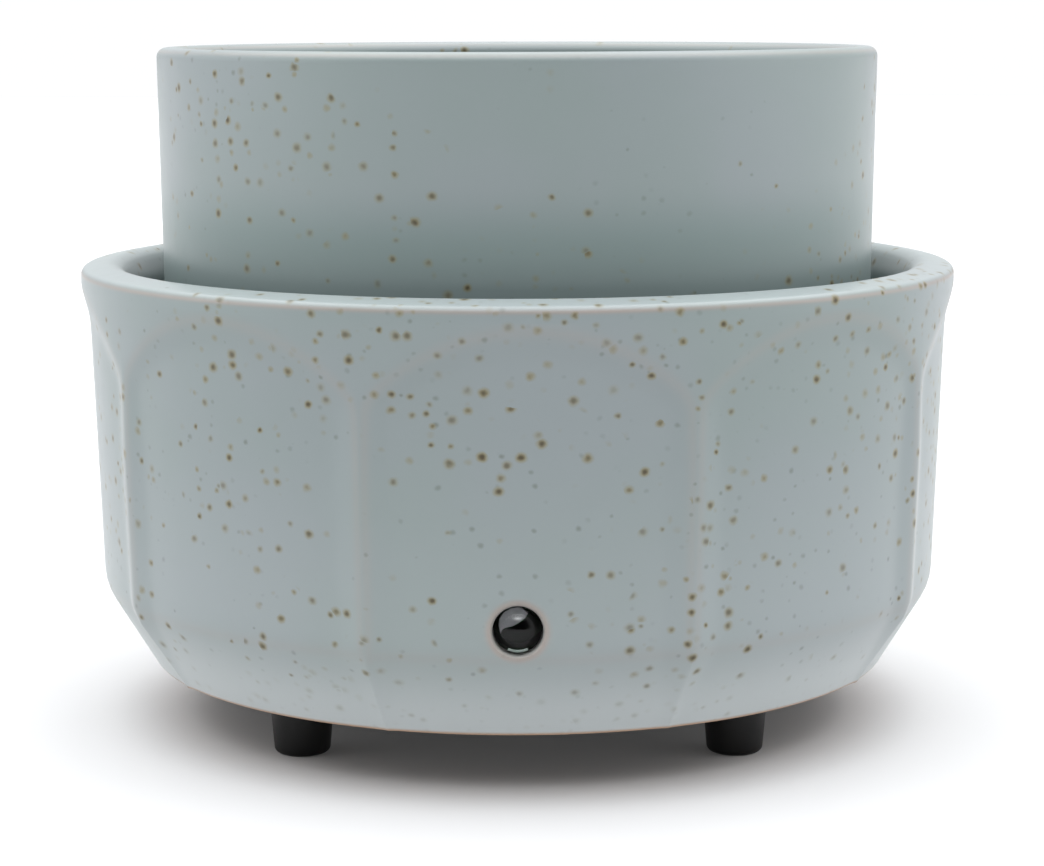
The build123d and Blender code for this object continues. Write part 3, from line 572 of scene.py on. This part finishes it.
def closed_mesh(name, vertices, faces):
    """A mesh whose faces are turned outwards if its volume comes out negative."""
    mesh = bpy.data.meshes.new(name)
    mesh.from_pydata(vertices, [], faces)
    mesh.calc_loop_triangles()
    corners = np.zeros(len(mesh.loop_triangles) * 3, np.int32)
    mesh.loop_triangles.foreach_get("vertices", corners)
    places = np.zeros(len(mesh.vertices) * 3)
    mesh.vertices.foreach_get("co", places)
    a, b, c = places.reshape(-1, 3)[corners.reshape(-1, 3)].transpose(1, 0, 2)
    if np.einsum("ij,ij->", a, np.cross(b, c)) < 0:
        mesh.flip_normals()
    return mesh


def rounded(corners, step):
    """A rounded profile through corners of (radius, height, rounding, spacing).

    A rounding is divided into steps of about an angle, and the run after a corner into steps of
    about its spacing, or left whole where that is 0.
    """
    places = [Vector(corner[:2]) for corner in corners]
    arcs = []
    for index, (here, corner) in enumerate(zip(places, corners)):
        size = corner[2]
        if not size:
            arcs.append([here])
            continue
        before = (places[index - 1] - here).normalized()
        after = (places[(index + 1) % len(places)] - here).normalized()
        half = before.angle(after) / 2
        centre = here + (before + after).normalized() * (size / sin(half))
        start = here + before * (size / tan(half)) - centre
        turn = pi - 2 * half
        if before.x * after.y - before.y * after.x > 0:
            turn = -turn
        count = max(2, round(abs(turn) / step))
        turns = (Matrix.Rotation(turn * i / count, 2) for i in range(count + 1))
        arcs.append([centre + rotation @ start for rotation in turns])
    profile = []
    for index, (arc, corner) in enumerate(zip(arcs, corners)):
        profile += arc
        run = arcs[(index + 1) % len(arcs)][0] - arc[-1]
        count = max(1, round(run.length / corner[3])) if corner[3] else 1
        profile += [arc[-1] + run * (i / count) for i in range(1, count)]
    return profile


def points(*pairs):
    """Places of (radius, height)."""
    return [Vector(pair) for pair in pairs]


def whole_turn(columns):
    """Equal angles once round."""
    return [2 * pi * column / columns for column in range(columns)]


def turned_mesh(name, profile, angles, closed=False):
    """A mesh turned about Z, of a profile that is a loop or else starts and ends on the axis."""
    inner = profile if closed else profile[1:-1]
    radii, heights = np.array([tuple(place) for place in inner]).T[..., None]
    turns = np.array(angles)
    places = [radii * np.cos(turns), radii * np.sin(turns), heights + 0 * turns]
    vertices = np.stack(places, axis=-1).reshape(-1, 3).tolist()
    here = np.arange(len(vertices)).reshape(len(inner), len(angles))
    beside = np.roll(here, -1, axis=1)
    above, across = np.roll(here, -1, axis=0), np.roll(beside, -1, axis=0)
    quads = np.stack([here, beside, across, above], axis=-1)
    faces = (quads if closed else quads[:-1]).reshape(-1, 4).tolist()
    if not closed:
        for row, pole, order in ((0, profile[0], -1), (-1, profile[-1], 1)):
            vertices.append((0.0, 0.0, pole.y))
            pairs = np.stack([here[row], beside[row]], axis=-1).tolist()
            faces += [[len(vertices) - 1, *pair[::order]] for pair in pairs]
    return closed_mesh(name, vertices, faces)


def linked(name, data):
    """An object for a mesh or a camera, in the scene."""
    made = bpy.data.objects.new(name, data)
    bpy.context.scene.collection.objects.link(made)
    return made


def plate(name, outline, front, thickness):
    """A flat plate that faces -Y, with an outline of (x, z) points and softened edges."""
    count = len(outline)
    vertices = [(x, front, z) for x, z in outline] + [(x, front + thickness, z) for x, z in outline]
    faces = [list(range(count)), list(range(2 * count - 1, count - 1, -1))]
    faces += [[i, i + count, (i + 1) % count + count, (i + 1) % count] for i in range(count)]
    made = linked(name, closed_mesh(name, vertices, faces))
    edge = made.modifiers.new("edge", "BEVEL")
    edge.width = thickness / 5
    edge.segments = 2
    baked(made)
    smooth(made.data)
    return made


def baked(obj):
    """Turn an object's modifiers into its mesh."""
    graph = bpy.context.evaluated_depsgraph_get()
    mesh = bpy.data.meshes.new_from_object(obj.evaluated_get(graph))
    obj.modifiers.clear()
    obj.data = mesh


def smooth(mesh):
    """Smooth shading, with sharp edges past 38 degrees."""
    mesh.shade_smooth()
    mesh.set_sharp_from_angle(angle=radians(38))


def lying_mesh(name, profile, height, outward):
    """A turned mesh whose axis lies at a height and runs outwards along +Y (1) or -Y (-1)."""
    mesh = turned_mesh(name, profile, whole_turn(FINE_COLUMNS))
    mesh.transform(Matrix.Translation((0, 0, height)) @ Matrix.Rotation(-outward * pi / 2, 4, "X"))
    return mesh


def cut(obj, mesh):
    """Cut a closed mesh out of an object."""
    cutter = linked("cutter", mesh)
    modifier = obj.modifiers.new("cut", "BOOLEAN")
    modifier.operation = "DIFFERENCE"
    modifier.solver = "EXACT"
    modifier.object = cutter
    baked(obj)
    bpy.data.objects.remove(cutter)


def label(key):
    """The name that a size has in the relief's node tree."""
    return key.replace("_", " ").capitalize()


def relief_tree(keys, material):
    """Geometry nodes that press the arched panels into a round wall and mark its crests."""
    tree = bpy.data.node_groups.new("Arched panels", "GeometryNodeTree")
    graph = Graph(tree)
    interface = tree.interface
    interface.new_socket("Geometry", in_out="INPUT", socket_type="NodeSocketGeometry")
    for key in keys:
        interface.new_socket(label(key), in_out="INPUT", socket_type="NodeSocketFloat")
    interface.new_socket("Geometry", in_out="OUTPUT", socket_type="NodeSocketGeometry")
    entry = tree.nodes.new("NodeGroupInput")
    size = SimpleNamespace(**{key: Field(graph, entry.outputs[label(key)]) for key in keys})

    across, deep, height = graph.split(graph.node("GeometryNodeInputPosition"))
    radius = graph.hypotenuse(across, deep)
    around = graph.math("ARCTAN2", deep, across)
    half = pi / size.panels
    angle = graph.math("WRAP", around - size.front_angle, half, 0.0 - half)

    rim, rim_side = size.rim_radius, size.rim_side_height
    knee, foot, crown = size.knee_height, size.foot_height, size.crown_height
    flare = (height - foot) / (knee - foot)
    climb = height - knee

    def bent(foot_radius, knee_radius, upper):
        """A chamfer from the foot to the knee that turns there into an upper stretch."""
        chamfer = foot_radius + flare * (knee_radius - foot_radius)
        return graph.smallest(chamfer, upper, size.knee_softness)

    def leaning(knee_radius, upright):
        """A stretch that leans out from the knee until it stands upright."""
        lean = (upright - knee_radius) / (size.shoulder_height - knee)
        return graph.smallest(knee_radius + climb * lean, upright, UPRIGHT_SOFTNESS)

    wall_knee = rim - size.knee_inset
    wall_lean = (rim - size.wall_top_inset - wall_knee) / (size.wall_top_height - knee)
    wall = bent(size.foot_radius, wall_knee, wall_knee + climb * wall_lean)
    shoulder = rim - size.shoulder_inset
    rib_foot = size.foot_radius + size.rib_foot
    rib_knee = wall_knee + size.rib_height
    collar_lean = (rim - shoulder) / (rim_side - size.collar_height)
    collar = shoulder + (height - size.collar_height) * collar_lean
    ribs = bent(rib_foot, rib_knee, leaning(rib_knee, shoulder))
    ribs = graph.largest(ribs, collar, COLLAR_SOFTNESS)

    inwards = graph.math("COSINE", half)
    land = graph.math("SINE", half) * size.rib_land * 0.5
    ends = (rib_foot, rib_knee, shoulder)
    facet_foot, facet_knee, facet_top = (end * inwards + land for end in ends)
    facet = bent(facet_foot, facet_knee, leaning(facet_knee, facet_top))
    beside = ribs * graph.math("SINE", angle)
    swung = size.swing_height - graph.hypotenuse(size.swing_height - height, beside)
    crown_reach = shoulder + (crown - size.collar_height) * collar_lean
    scoop_lean = (crown_reach - facet_top) / (crown - size.scoop_height)
    scoop = crown_reach - (crown - swung) * scoop_lean
    pressed = graph.largest(facet, scoop, size.bend_softness) / graph.math("COSINE", angle)
    ribbed = graph.smallest(ribs, pressed, size.crest_softness)
    surface = graph.largest(ribbed, wall, size.valley_softness)
    surface = surface + (collar - surface) * graph.ease(height, crown - 0.5 * MM, rim_side)

    outer_skin = graph.ease(radius - wall, -3.4 * MM, -2.0 * MM)
    outside = outer_skin * graph.ease(height, rim_side + 0.1 * MM, rim_side + 0.05 * MM)
    factor = (radius + (surface - wall) * outside) / radius
    parts = {0: across * factor, 1: deep * factor, 2: height}
    moved = graph.node("ShaderNodeCombineXYZ", None, parts)
    crest = graph.bell(ribs - pressed, CREST_WIDTH) * outside
    proud = graph.ease(ribbed - wall, 0.0, PROUD_RIB)
    solid = Field(graph, entry.outputs["Geometry"])
    shaped = graph.node("GeometryNodeSetPosition", None, {"Geometry": solid, "Position": moved})
    marked = graph.node(
        "GeometryNodeStoreNamedAttribute",
        {"data_type": "FLOAT", "domain": "POINT"},
        {"Geometry": shaped, "Name": "glaze_break", "Value": crest * proud},
    )
    whole = graph.node("GeometryNodeRealizeInstances", None, {"Geometry": marked})
    glazed = graph.node("GeometryNodeSetMaterial", None, {"Geometry": whole, "Material": material})
    graph.leave("NodeGroupOutput", "Geometry", glazed)
    return tree


def use_tree(obj, tree, values):
    """Run a tree on an object, with inputs set by their identifiers, and keep the result."""
    modifier = obj.modifiers.new(tree.name, "NODES")
    modifier.node_group = tree
    identifiers = {item.name: item.identifier for item in tree.interface.items_tree}
    for key, value in values.items():
        modifier[identifiers[label(key)]] = float(value)
    baked(obj)


class WARMER_OT_stage(Operator):
    """Set up the floor, the light and the camera"""

    bl_idname = "warmer.stage"
    bl_label = "Stage"

    # Between which cosines the light changes, about the camera's direction and about straight up
    FRONT, ROOM, BEHIND, ABOVE = (0.36, 0.80), (0.80, 0.93), (-0.35, -0.85), (0.48, 0.90)

    def execute(self, context):
        stage = context.scene.warmer_stage
        camera = bpy.data.cameras.new("camera")
        camera.lens = stage.lens
        camera.sensor_width = 36.0
        camera.clip_start = 0.01
        eye = linked("camera", camera)
        eye.matrix_world = (
            Matrix.Translation((stage.aside, -stage.distance, stage.height))
            @ Matrix.Rotation(pi / 2 - stage.pitch, 4, "X")
            @ Matrix.Rotation(stage.roll, 4, "Z")
        )
        context.scene.camera = eye
        context.scene.view_settings.view_transform = "Standard"
        context.scene.view_settings.look = "None"

        mesh = bpy.data.meshes.new("floor")
        reach = 3.0
        corners = [(-reach, -reach, 0), (reach, -reach, 0), (reach, reach, 0), (-reach, reach, 0)]
        mesh.from_pydata(corners, [], [(0, 1, 2, 3)])
        floor = linked("floor", mesh)
        mesh.materials.append(matt_floor("pale_floor"))

        world = bpy.data.worlds.new("studio")
        context.scene.world = world
        graph = fresh_graph(world)
        across, deep, up = graph.split(graph.node("ShaderNodeTexCoord", output="Generated"))
        flat = graph.math("SQRT", across * across + deep * deep + 1e-6)
        towards = (0.0 - deep) / flat
        front = graph.ease(towards, *self.FRONT) * (1.0 - stage.front_share)
        room = graph.ease(towards, *self.ROOM) * (stage.front_share - stage.room_share)
        above = graph.ease(up, *self.ABOVE)
        flanks = graph.bell(towards - 0.05, 0.4) * stage.flank_share
        behind = graph.ease(towards, *self.BEHIND) * stage.behind_share
        sides = (1.0 - front - room - behind + flanks) * stage.side_light
        light = sides * (1.0 - above) + above * stage.top_light
        seen = graph.node("ShaderNodeLightPath", output="Is Camera Ray")
        light = light + (stage.side_light - light) * seen
        inputs = {"Color": graph.opaque(stage.surround), "Strength": light}
        background = graph.node("ShaderNodeBackground", None, inputs)
        graph.leave("ShaderNodeOutputWorld", "Surface", background)
        return {"FINISHED"}


class WARMER_OT_base_housing(Operator):
    """Make the panelled ceramic base with its glaze"""

    bl_idname = "warmer.base_housing"
    bl_label = "Base"

    def execute(self, context):
        base, lamp = context.scene.warmer_base, context.scene.warmer_lamp
        lift, top, rim = BASE_LOW.z, BASE_HIGH.z, BASE_HIGH.x
        knee_radius = rim - base.knee_inset
        well = rim - base.rim_width
        knee = base.knee_height
        lean = (base.knee_inset - base.wall_top_inset) / (top - base.wall_top_drop - knee)
        rim_side = top - base.rim_outer_round
        wall_top = knee_radius + lean * (rim_side - knee)
        ledge_hole, ledge = PLATE_HIGH.x - 5.0 * MM, PLATE_HIGH.z - 3.0 * MM
        ledge_under = ledge - 5.0 * MM
        seat_radius, seat = COVER_HIGH.x + 0.3 * MM, lift + 3.0 * MM
        ring_hole, ring_top = seat_radius - 3.5 * MM, lift + 5.5 * MM
        fine = 0.75 * MM
        corners = [
            (base.foot_radius, lift, 1.1 * MM, fine),
            (knee_radius, knee, 8.0 * MM, fine),
            (wall_top, rim_side, 0, 0),
            (rim, rim_side + 0.12 * MM, 0, 0),
            (rim, top - base.rim_fall, base.rim_edge, 1.2 * MM),
            (well + 2.25 * MM, top + 0.32 * MM, 3.0 * MM, 1.5 * MM),
            (well, top - base.rim_slope, 8.0 * MM, 2.5 * MM),
            (well, ledge, 1.5 * MM, 6.0 * MM),
            (ledge_hole, ledge, 0.5 * MM, 0),
            (ledge_hole, ledge_under, 0.5 * MM, 10.0 * MM),
            (knee_radius - 4.2 * MM, ledge_under, 0, 10.0 * MM),
            (knee_radius - 5.0 * MM, knee, 0, 0),
            (seat_radius + 2.0 * MM, ring_top, 0, 0),
            (ring_hole, ring_top, 0, 0),
            (ring_hole, seat, 0, 0),
            (seat_radius, seat, 0, 0),
            (seat_radius, lift, 0.2 * MM, 0.9 * MM),
        ]
        profile = rounded(corners, radians(10))
        half = pi / base.panels
        front = -pi / 2 + base.turn
        angles = []
        for panel in range(base.panels):
            for column in range(PANEL_COLUMNS):
                even = 2 * column / PANEL_COLUMNS - 1
                spread = even + CROWDING * sin(pi * even) / pi
                angles.append(front + 2 * half * panel + half * spread)
        shell = linked("base_shell", turned_mesh("base_shell", profile, angles, closed=True))

        hole = lamp.radius + lamp.hole_gap
        mouth = -(LAMP_LOW.y + 0.2 * MM)
        flare = lamp.hole_flare
        arc = [
            Vector((hole + flare * (1 - cos(a)), mouth - flare * (1 - sin(a)) * 0.9 - 0.02 * MM))
            for a in (radians(7.5 * i) for i in range(11))
        ]
        outer = arc[-1] + Vector((2.5 * MM, 1.2 * MM))
        mouth_cut = points((0, mouth - HOLE_DEPTH), (hole, mouth - HOLE_DEPTH))
        mouth_cut += [*arc, outer, Vector((0, outer.y))]
        cut(shell, lying_mesh("lamp_hole", mouth_cut, LAMP_HEIGHT, -1))

        inlet_height = (GROMMET_LOW.z + GROMMET_HIGH.z) / 2
        face = GROMMET_HIGH.y - 1.5 * MM
        pocket, bore, pocket_flare = 7.5 * MM, 4.8 * MM, 0.9 * MM
        inlet_cut = points(
            (0, face - HOLE_DEPTH),
            (bore, face - HOLE_DEPTH),
            (bore, face),
            (pocket, face),
            (pocket + pocket_flare, face + 1.5 * MM),
            (pocket + pocket_flare, face + 6 * MM),
            (0, face + 6 * MM),
        )
        cut(shell, lying_mesh("inlet", inlet_cut, inlet_height, 1))

        def edges(graph):
            """Thin, warm glaze on crests, rim, knee and hole, painted light as paler glaze low on
            the wall and near the rim's top, and bare clay at the lower edge.
            """
            named = {"attribute_name": "glaze_break"}
            crest = graph.node("ShaderNodeAttribute", named, output="Fac")
            across, deep, height = graph.split(graph.place())
            outer = graph.ease(graph.hypotenuse(across, deep), rim - 1.7 * MM, rim - 1.2 * MM)
            rim_line = graph.bell(height - (top - 1.4 * MM), 0.34 * MM) * outer
            knee_line = graph.bell(height - knee, 0.9 * MM) * 0.12
            from_lamp = graph.hypotenuse(across, height - LAMP_HEIGHT)
            near = graph.ease(deep, -rim + 14 * MM, -rim + 8 * MM)
            ring = graph.bell(from_lamp - (hole + 0.45 * MM), 0.6 * MM) * near * 0.6
            broken = graph.math("MAXIMUM", rim_line * 0.55, knee_line)
            broken = graph.math("MAXIMUM", crest * 0.18, broken)
            patchy = graph.noise(45.0, 2.0) * 0.8 + 0.45
            broken = graph.math("MAXIMUM", broken * patchy, ring)
            foot_line = graph.ease(height, lift + 0.75 * MM, lift + 0.2 * MM)
            # Painted light: paler glaze from 58 mm down, strongest below the knee, stands in for
            # light thrown up from the floor; the paler band near the rim's top stands in for light
            # from above
            run = graph.ease(height, 58 * MM, 20 * MM) * 0.17
            run = run + graph.ease(height, knee + 3.2 * MM, lift) * 0.83
            run = run + graph.ease(height, top - 1.2 * MM, top - 0.6 * MM) * 0.3
            return None, run, broken, foot_line

        settings = context.scene.warmer_glaze
        glaze = speckled_glaze("speckled_glaze_base", settings, settings.base_specks, edges)
        sizes = {
            "front_angle": front,
            "rim_radius": rim,
            "rim_side_height": rim_side,
            "foot_height": lift,
            "swing_height": top + base.swing_rise,
        }
        for key in (
            "panels", "foot_radius", "knee_height", "knee_inset", "wall_top_inset", "rib_height",
            "rib_foot", "rib_land", "shoulder_inset", "crest_softness", "valley_softness",
            "knee_softness", "bend_softness",
        ):
            sizes[key] = getattr(base, key)
        for part in ("wall_top", "shoulder", "collar", "scoop", "crown"):
            sizes[f"{part}_height"] = top - getattr(base, f"{part}_drop")
        use_tree(shell, relief_tree(sizes, glaze), sizes)
        smooth(shell.data)
        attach(shell, "base")
        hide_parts("base_housing")
        return {"FINISHED"}


class WARMER_OT_wax_dish(Operator):
    """Make the lift-off dish with its glaze"""

    bl_idname = "warmer.wax_dish"
    bl_label = "Dish"

    def execute(self, context):
        dish = context.scene.warmer_dish
        bottom, top, reach = DISH_LOW.z, DISH_HIGH.z, DISH_HIGH.x
        under = bottom + dish.foot_rise
        low = reach - dish.taper
        floor = under + dish.floor
        bowl = reach - dish.wall
        ring_inner = dish.foot_radius - dish.foot_width
        corners = [
            (0, under, 0, 8 * MM),
            (ring_inner, under, 0.6 * MM, 0),
            (ring_inner, bottom, 0.9 * MM, 1 * MM),
            (dish.foot_radius, bottom, 0.9 * MM, 0),
            (dish.foot_radius, under, 0.6 * MM, 4 * MM),
            (low, under, dish.belly_round, 2 * MM),
            (low, under + dish.shoulder_rise, 0, 1.2 * MM),
            (reach, top, dish.outer_lip_round, 0),
            (bowl, top, dish.inner_lip_round, 2 * MM),
            (bowl - dish.draft, floor, dish.bowl_round, 6 * MM),
            (0, floor, 0, 0),
        ]
        profile = rounded(corners, radians(7))
        mesh = turned_mesh("dish_shell", profile, whole_turn(DISH_COLUMNS))
        smooth(mesh)
        shell = linked("dish_shell", mesh)

        def edges(graph):
            """Darker, greener glaze low on the wall, partly pooled and partly painted shade from
            the well, paler glaze towards the foot, thin along the lip, and bare under the foot
            ring.
            """
            height = graph.split(graph.place())[2]
            patchy = graph.noise(45.0, 2.0) * 0.4 + 0.05
            lip = graph.bell(height - (top - 0.5 * MM), 0.3 * MM) * patchy
            foot = graph.ease(height, bottom + 0.5 * MM, bottom + 0.1 * MM)
            run = graph.ease(height, under + 4.0 * MM, bottom) * 0.5
            # Partly painted shade: darker, greener glaze from 89 mm down towards the well, less of
            # it below 77 mm
            below = graph.ease(height, 72 * MM, 77 * MM) * 0.35 + 0.65
            pooled_and_shaded = graph.ease(height, 89 * MM, 79 * MM) * below
            return pooled_and_shaded, run, lip, foot

        settings = context.scene.warmer_glaze
        glaze = speckled_glaze("speckled_glaze_dish", settings, settings.dish_specks, edges)
        mesh.materials.append(glaze)
        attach(shell, "dish")
        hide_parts("wax_dish")
        return {"FINISHED"}


class WARMER_OT_indicator_lamp(Operator):
    """Make the clear lamp, what it holds and an arc of painted highlight, and finish its holder and
    board
    """

    bl_idname = "warmer.indicator_lamp"
    bl_label = "Lamp"

    def execute(self, context):
        lamp = context.scene.warmer_lamp
        front, rear = -LAMP_LOW.y, -LAMP_HIGH.y
        cap_radius = (lamp.radius**2 + lamp.dome_rise**2) / (2 * lamp.dome_rise)
        cap = 2 * atan(lamp.dome_rise / lamp.radius)
        step = rear + lamp.flange_thickness
        flange = lamp.flange_radius
        profile = points((0, rear), (flange, rear), (flange, step), (lamp.radius, step))
        for i in range(LENS_STEPS + 1):
            turn = cap * (1 - i / LENS_STEPS)
            profile.append(Vector((cap_radius * sin(turn), front - cap_radius * (1 - cos(turn)))))
        mesh = lying_mesh("lamp_lens", profile, LAMP_HEIGHT, -1)
        smooth(mesh)
        lens = linked("lamp_lens", mesh)
        mesh.materials.append(clear_lens("clear_lens"))
        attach(lens, "base")
        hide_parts("indicator_lamp")

        # The frame's outline from the front, in a lens with a radius of 1.34
        swoop = (
            (-0.70, -0.35), (-0.63, -0.16), (-0.50, -0.07), (-0.17, 0.0), (0.13, 0.18),
            (0.36, 0.37), (0.52, 0.60), (0.30, 0.82), (0.10, 0.92), (-0.25, 0.88),
            (-0.60, 0.66), (-0.78, 0.40), (-0.80, 0.0),
        )
        scale = lamp.radius / 1.34
        outline = [((x - 0.05) * scale, (y + 0.04) * scale + LAMP_HEIGHT) for x, y in swoop]
        frame_plate = plate("lamp_frame", outline, -front + 3.5 * MM, 0.4 * MM)
        frame_plate.data.materials.append(leaded_frame("frame_silver", LAMP_HEIGHT + 0.39 * scale))
        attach(frame_plate, "base")

        # Painted highlight: a pale green arc sheet behind the lens's lower edge stands in for the
        # light that gathers there
        turns = [radians(-116 + 4 * i) for i in range(14)]
        arcs = (0.95 * lamp.radius, turns), (0.79 * lamp.radius, turns[::-1])
        outline = [(r * cos(t), r * sin(t) + LAMP_HEIGHT) for r, arc in arcs for t in arc]
        glint = plate("lamp_painted_arc", outline, -front + 2.0 * MM, 0.3 * MM)
        glint.data.materials.append(moulded_plastic("step_plastic", (0.80, 0.95, 0.87)))
        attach(glint, "base")

        dress(satin_rubber("holder_rubber", (0.006, 0.007, 0.010)), "lamp_holder")
        lacquer = lacquered_board("board_lacquer", (0.02, 0.11, 0.045), (0.05, 0.2, 0.08))
        dress(lacquer, "lamp_board")
        bands = (
            (-1.5 * MM, (0.35, 0.05, 0.03)),
            (-0.6 * MM, (0.02, 0.02, 0.02)),
            (0.3 * MM, (0.5, 0.33, 0.05)),
        )
        dress(banded_resistor("resistor_lacquer", (0.55, 0.42, 0.26), bands), "lamp_resistor")
        return {"FINISHED"}


class WARMER_OT_underside(Operator):
    """Finish the feet, cover, grommet and the screws below"""

    bl_idname = "warmer.underside"
    bl_label = "Underside"

    def execute(self, context):
        rubber = satin_rubber("foot_rubber", (0.004, 0.004, 0.004))
        dress(rubber, "foot_front_left", "foot_front_right", "foot_rear_left", "foot_rear_right")
        dress(rubber, "cord_grommet")
        dress(moulded_plastic("cover_plastic", (0.028, 0.028, 0.03)), "bottom_cover")
        zinc = plated_steel("zinc_plate", (0.62, 0.62, 0.6), (0.5, 0.48, 0.42))
        dress(zinc, "tie_screws", "foot_screws")
        return {"FINISHED"}


class WARMER_OT_heater(Operator):
    """Finish the hot plate and everything clamped under it"""

    bl_idname = "warmer.heater"
    bl_label = "Heater"

    def execute(self, context):
        dress(turned_metal("spun_aluminium", (0.75, 0.76, 0.77), 0.26), "hot_plate")
        dress(satin_rubber("gasket_silicone", (0.62, 0.62, 0.6)), "plate_gasket")
        mica = pressed_mica("pressed_mica", (0.42, 0.33, 0.2), (0.62, 0.54, 0.4))
        dress(mica, "upper_mica", "lower_mica")
        dress(sheet_metal("heater_alloy", (0.3, 0.27, 0.26), 0.4), "heating_element")
        steel = sheet_metal("rolled_steel", (0.56, 0.56, 0.57), 0.28)
        dress(steel, "clamp_plate", "heat_shield", "fuse_clip")
        zinc = plated_steel("bright_zinc", (0.62, 0.63, 0.62), (0.46, 0.45, 0.4))
        dress(zinc, "clamp_nuts", "shield_spacers", "tie_rods", "fuse_screws")
        dress(turned_metal("fuse_case", (0.7, 0.7, 0.7), 0.2), "thermal_fuse")
        return {"FINISHED"}


class WARMER_OT_wiring(Operator):
    """Finish the terminal block and the inner leads"""

    bl_idname = "warmer.wiring"
    bl_label = "Wiring"

    def execute(self, context):
        dress(moulded_plastic("block_plastic", (0.75, 0.74, 0.68)), "terminal_block")
        dress(plated_steel("block_brass", (0.72, 0.53, 0.23), (0.5, 0.34, 0.14)), "terminal_screws")
        dress(plated_steel("block_zinc", (0.62, 0.63, 0.62), (0.46, 0.45, 0.4)), "block_screw")
        dress(lead_jacket("brown_jacket", (0.16, 0.07, 0.03)), "fuse_lead", "live_lead")
        dress(lead_jacket("blue_jacket", (0.03, 0.09, 0.3)), "neutral_lead")
        dress(lead_jacket("white_jacket", (0.7, 0.69, 0.65)), "lamp_leads")
        return {"FINISHED"}


OPERATORS = (
    WARMER_OT_stage,
    WARMER_OT_base_housing,
    WARMER_OT_wax_dish,
    WARMER_OT_indicator_lamp,
    WARMER_OT_underside,
    WARMER_OT_heater,
    WARMER_OT_wiring,
)


class WARMER_PT_sidebar(Panel):
    """The warmer's pieces and sizes"""

    bl_idname = "WARMER_PT_sidebar"
    bl_label = "Wax melt warmer"
    bl_space_type = "VIEW_3D"
    bl_region_type = "UI"
    bl_category = "Warmer"

    def draw(self, context):
        for operator in OPERATORS:
            self.layout.operator(operator.bl_idname)
        for name, group in SETTINGS.items():
            box = self.layout.box()
            for key in group.__annotations__:
                box.prop(getattr(context.scene, name), key)


CLASSES = (*SETTINGS.values(), *OPERATORS, WARMER_PT_sidebar)


def register():
    """Register the classes and hang the settings on the scene."""
    for group in CLASSES:
        bpy.utils.register_class(group)
    for name, group in SETTINGS.items():
        setattr(bpy.types.Scene, name, PointerProperty(type=group))


def unregister():
    """Take the settings and classes away again."""
    for name in SETTINGS:
        delattr(bpy.types.Scene, name)
    for group in reversed(CLASSES):
        bpy.utils.unregister_class(group)


def main():
    """Make every piece."""
    register()
    for operator in OPERATORS:
        family, name = operator.bl_idname.split(".")
        getattr(getattr(bpy.ops, family), name)()


if __name__ == "__main__":
    main()
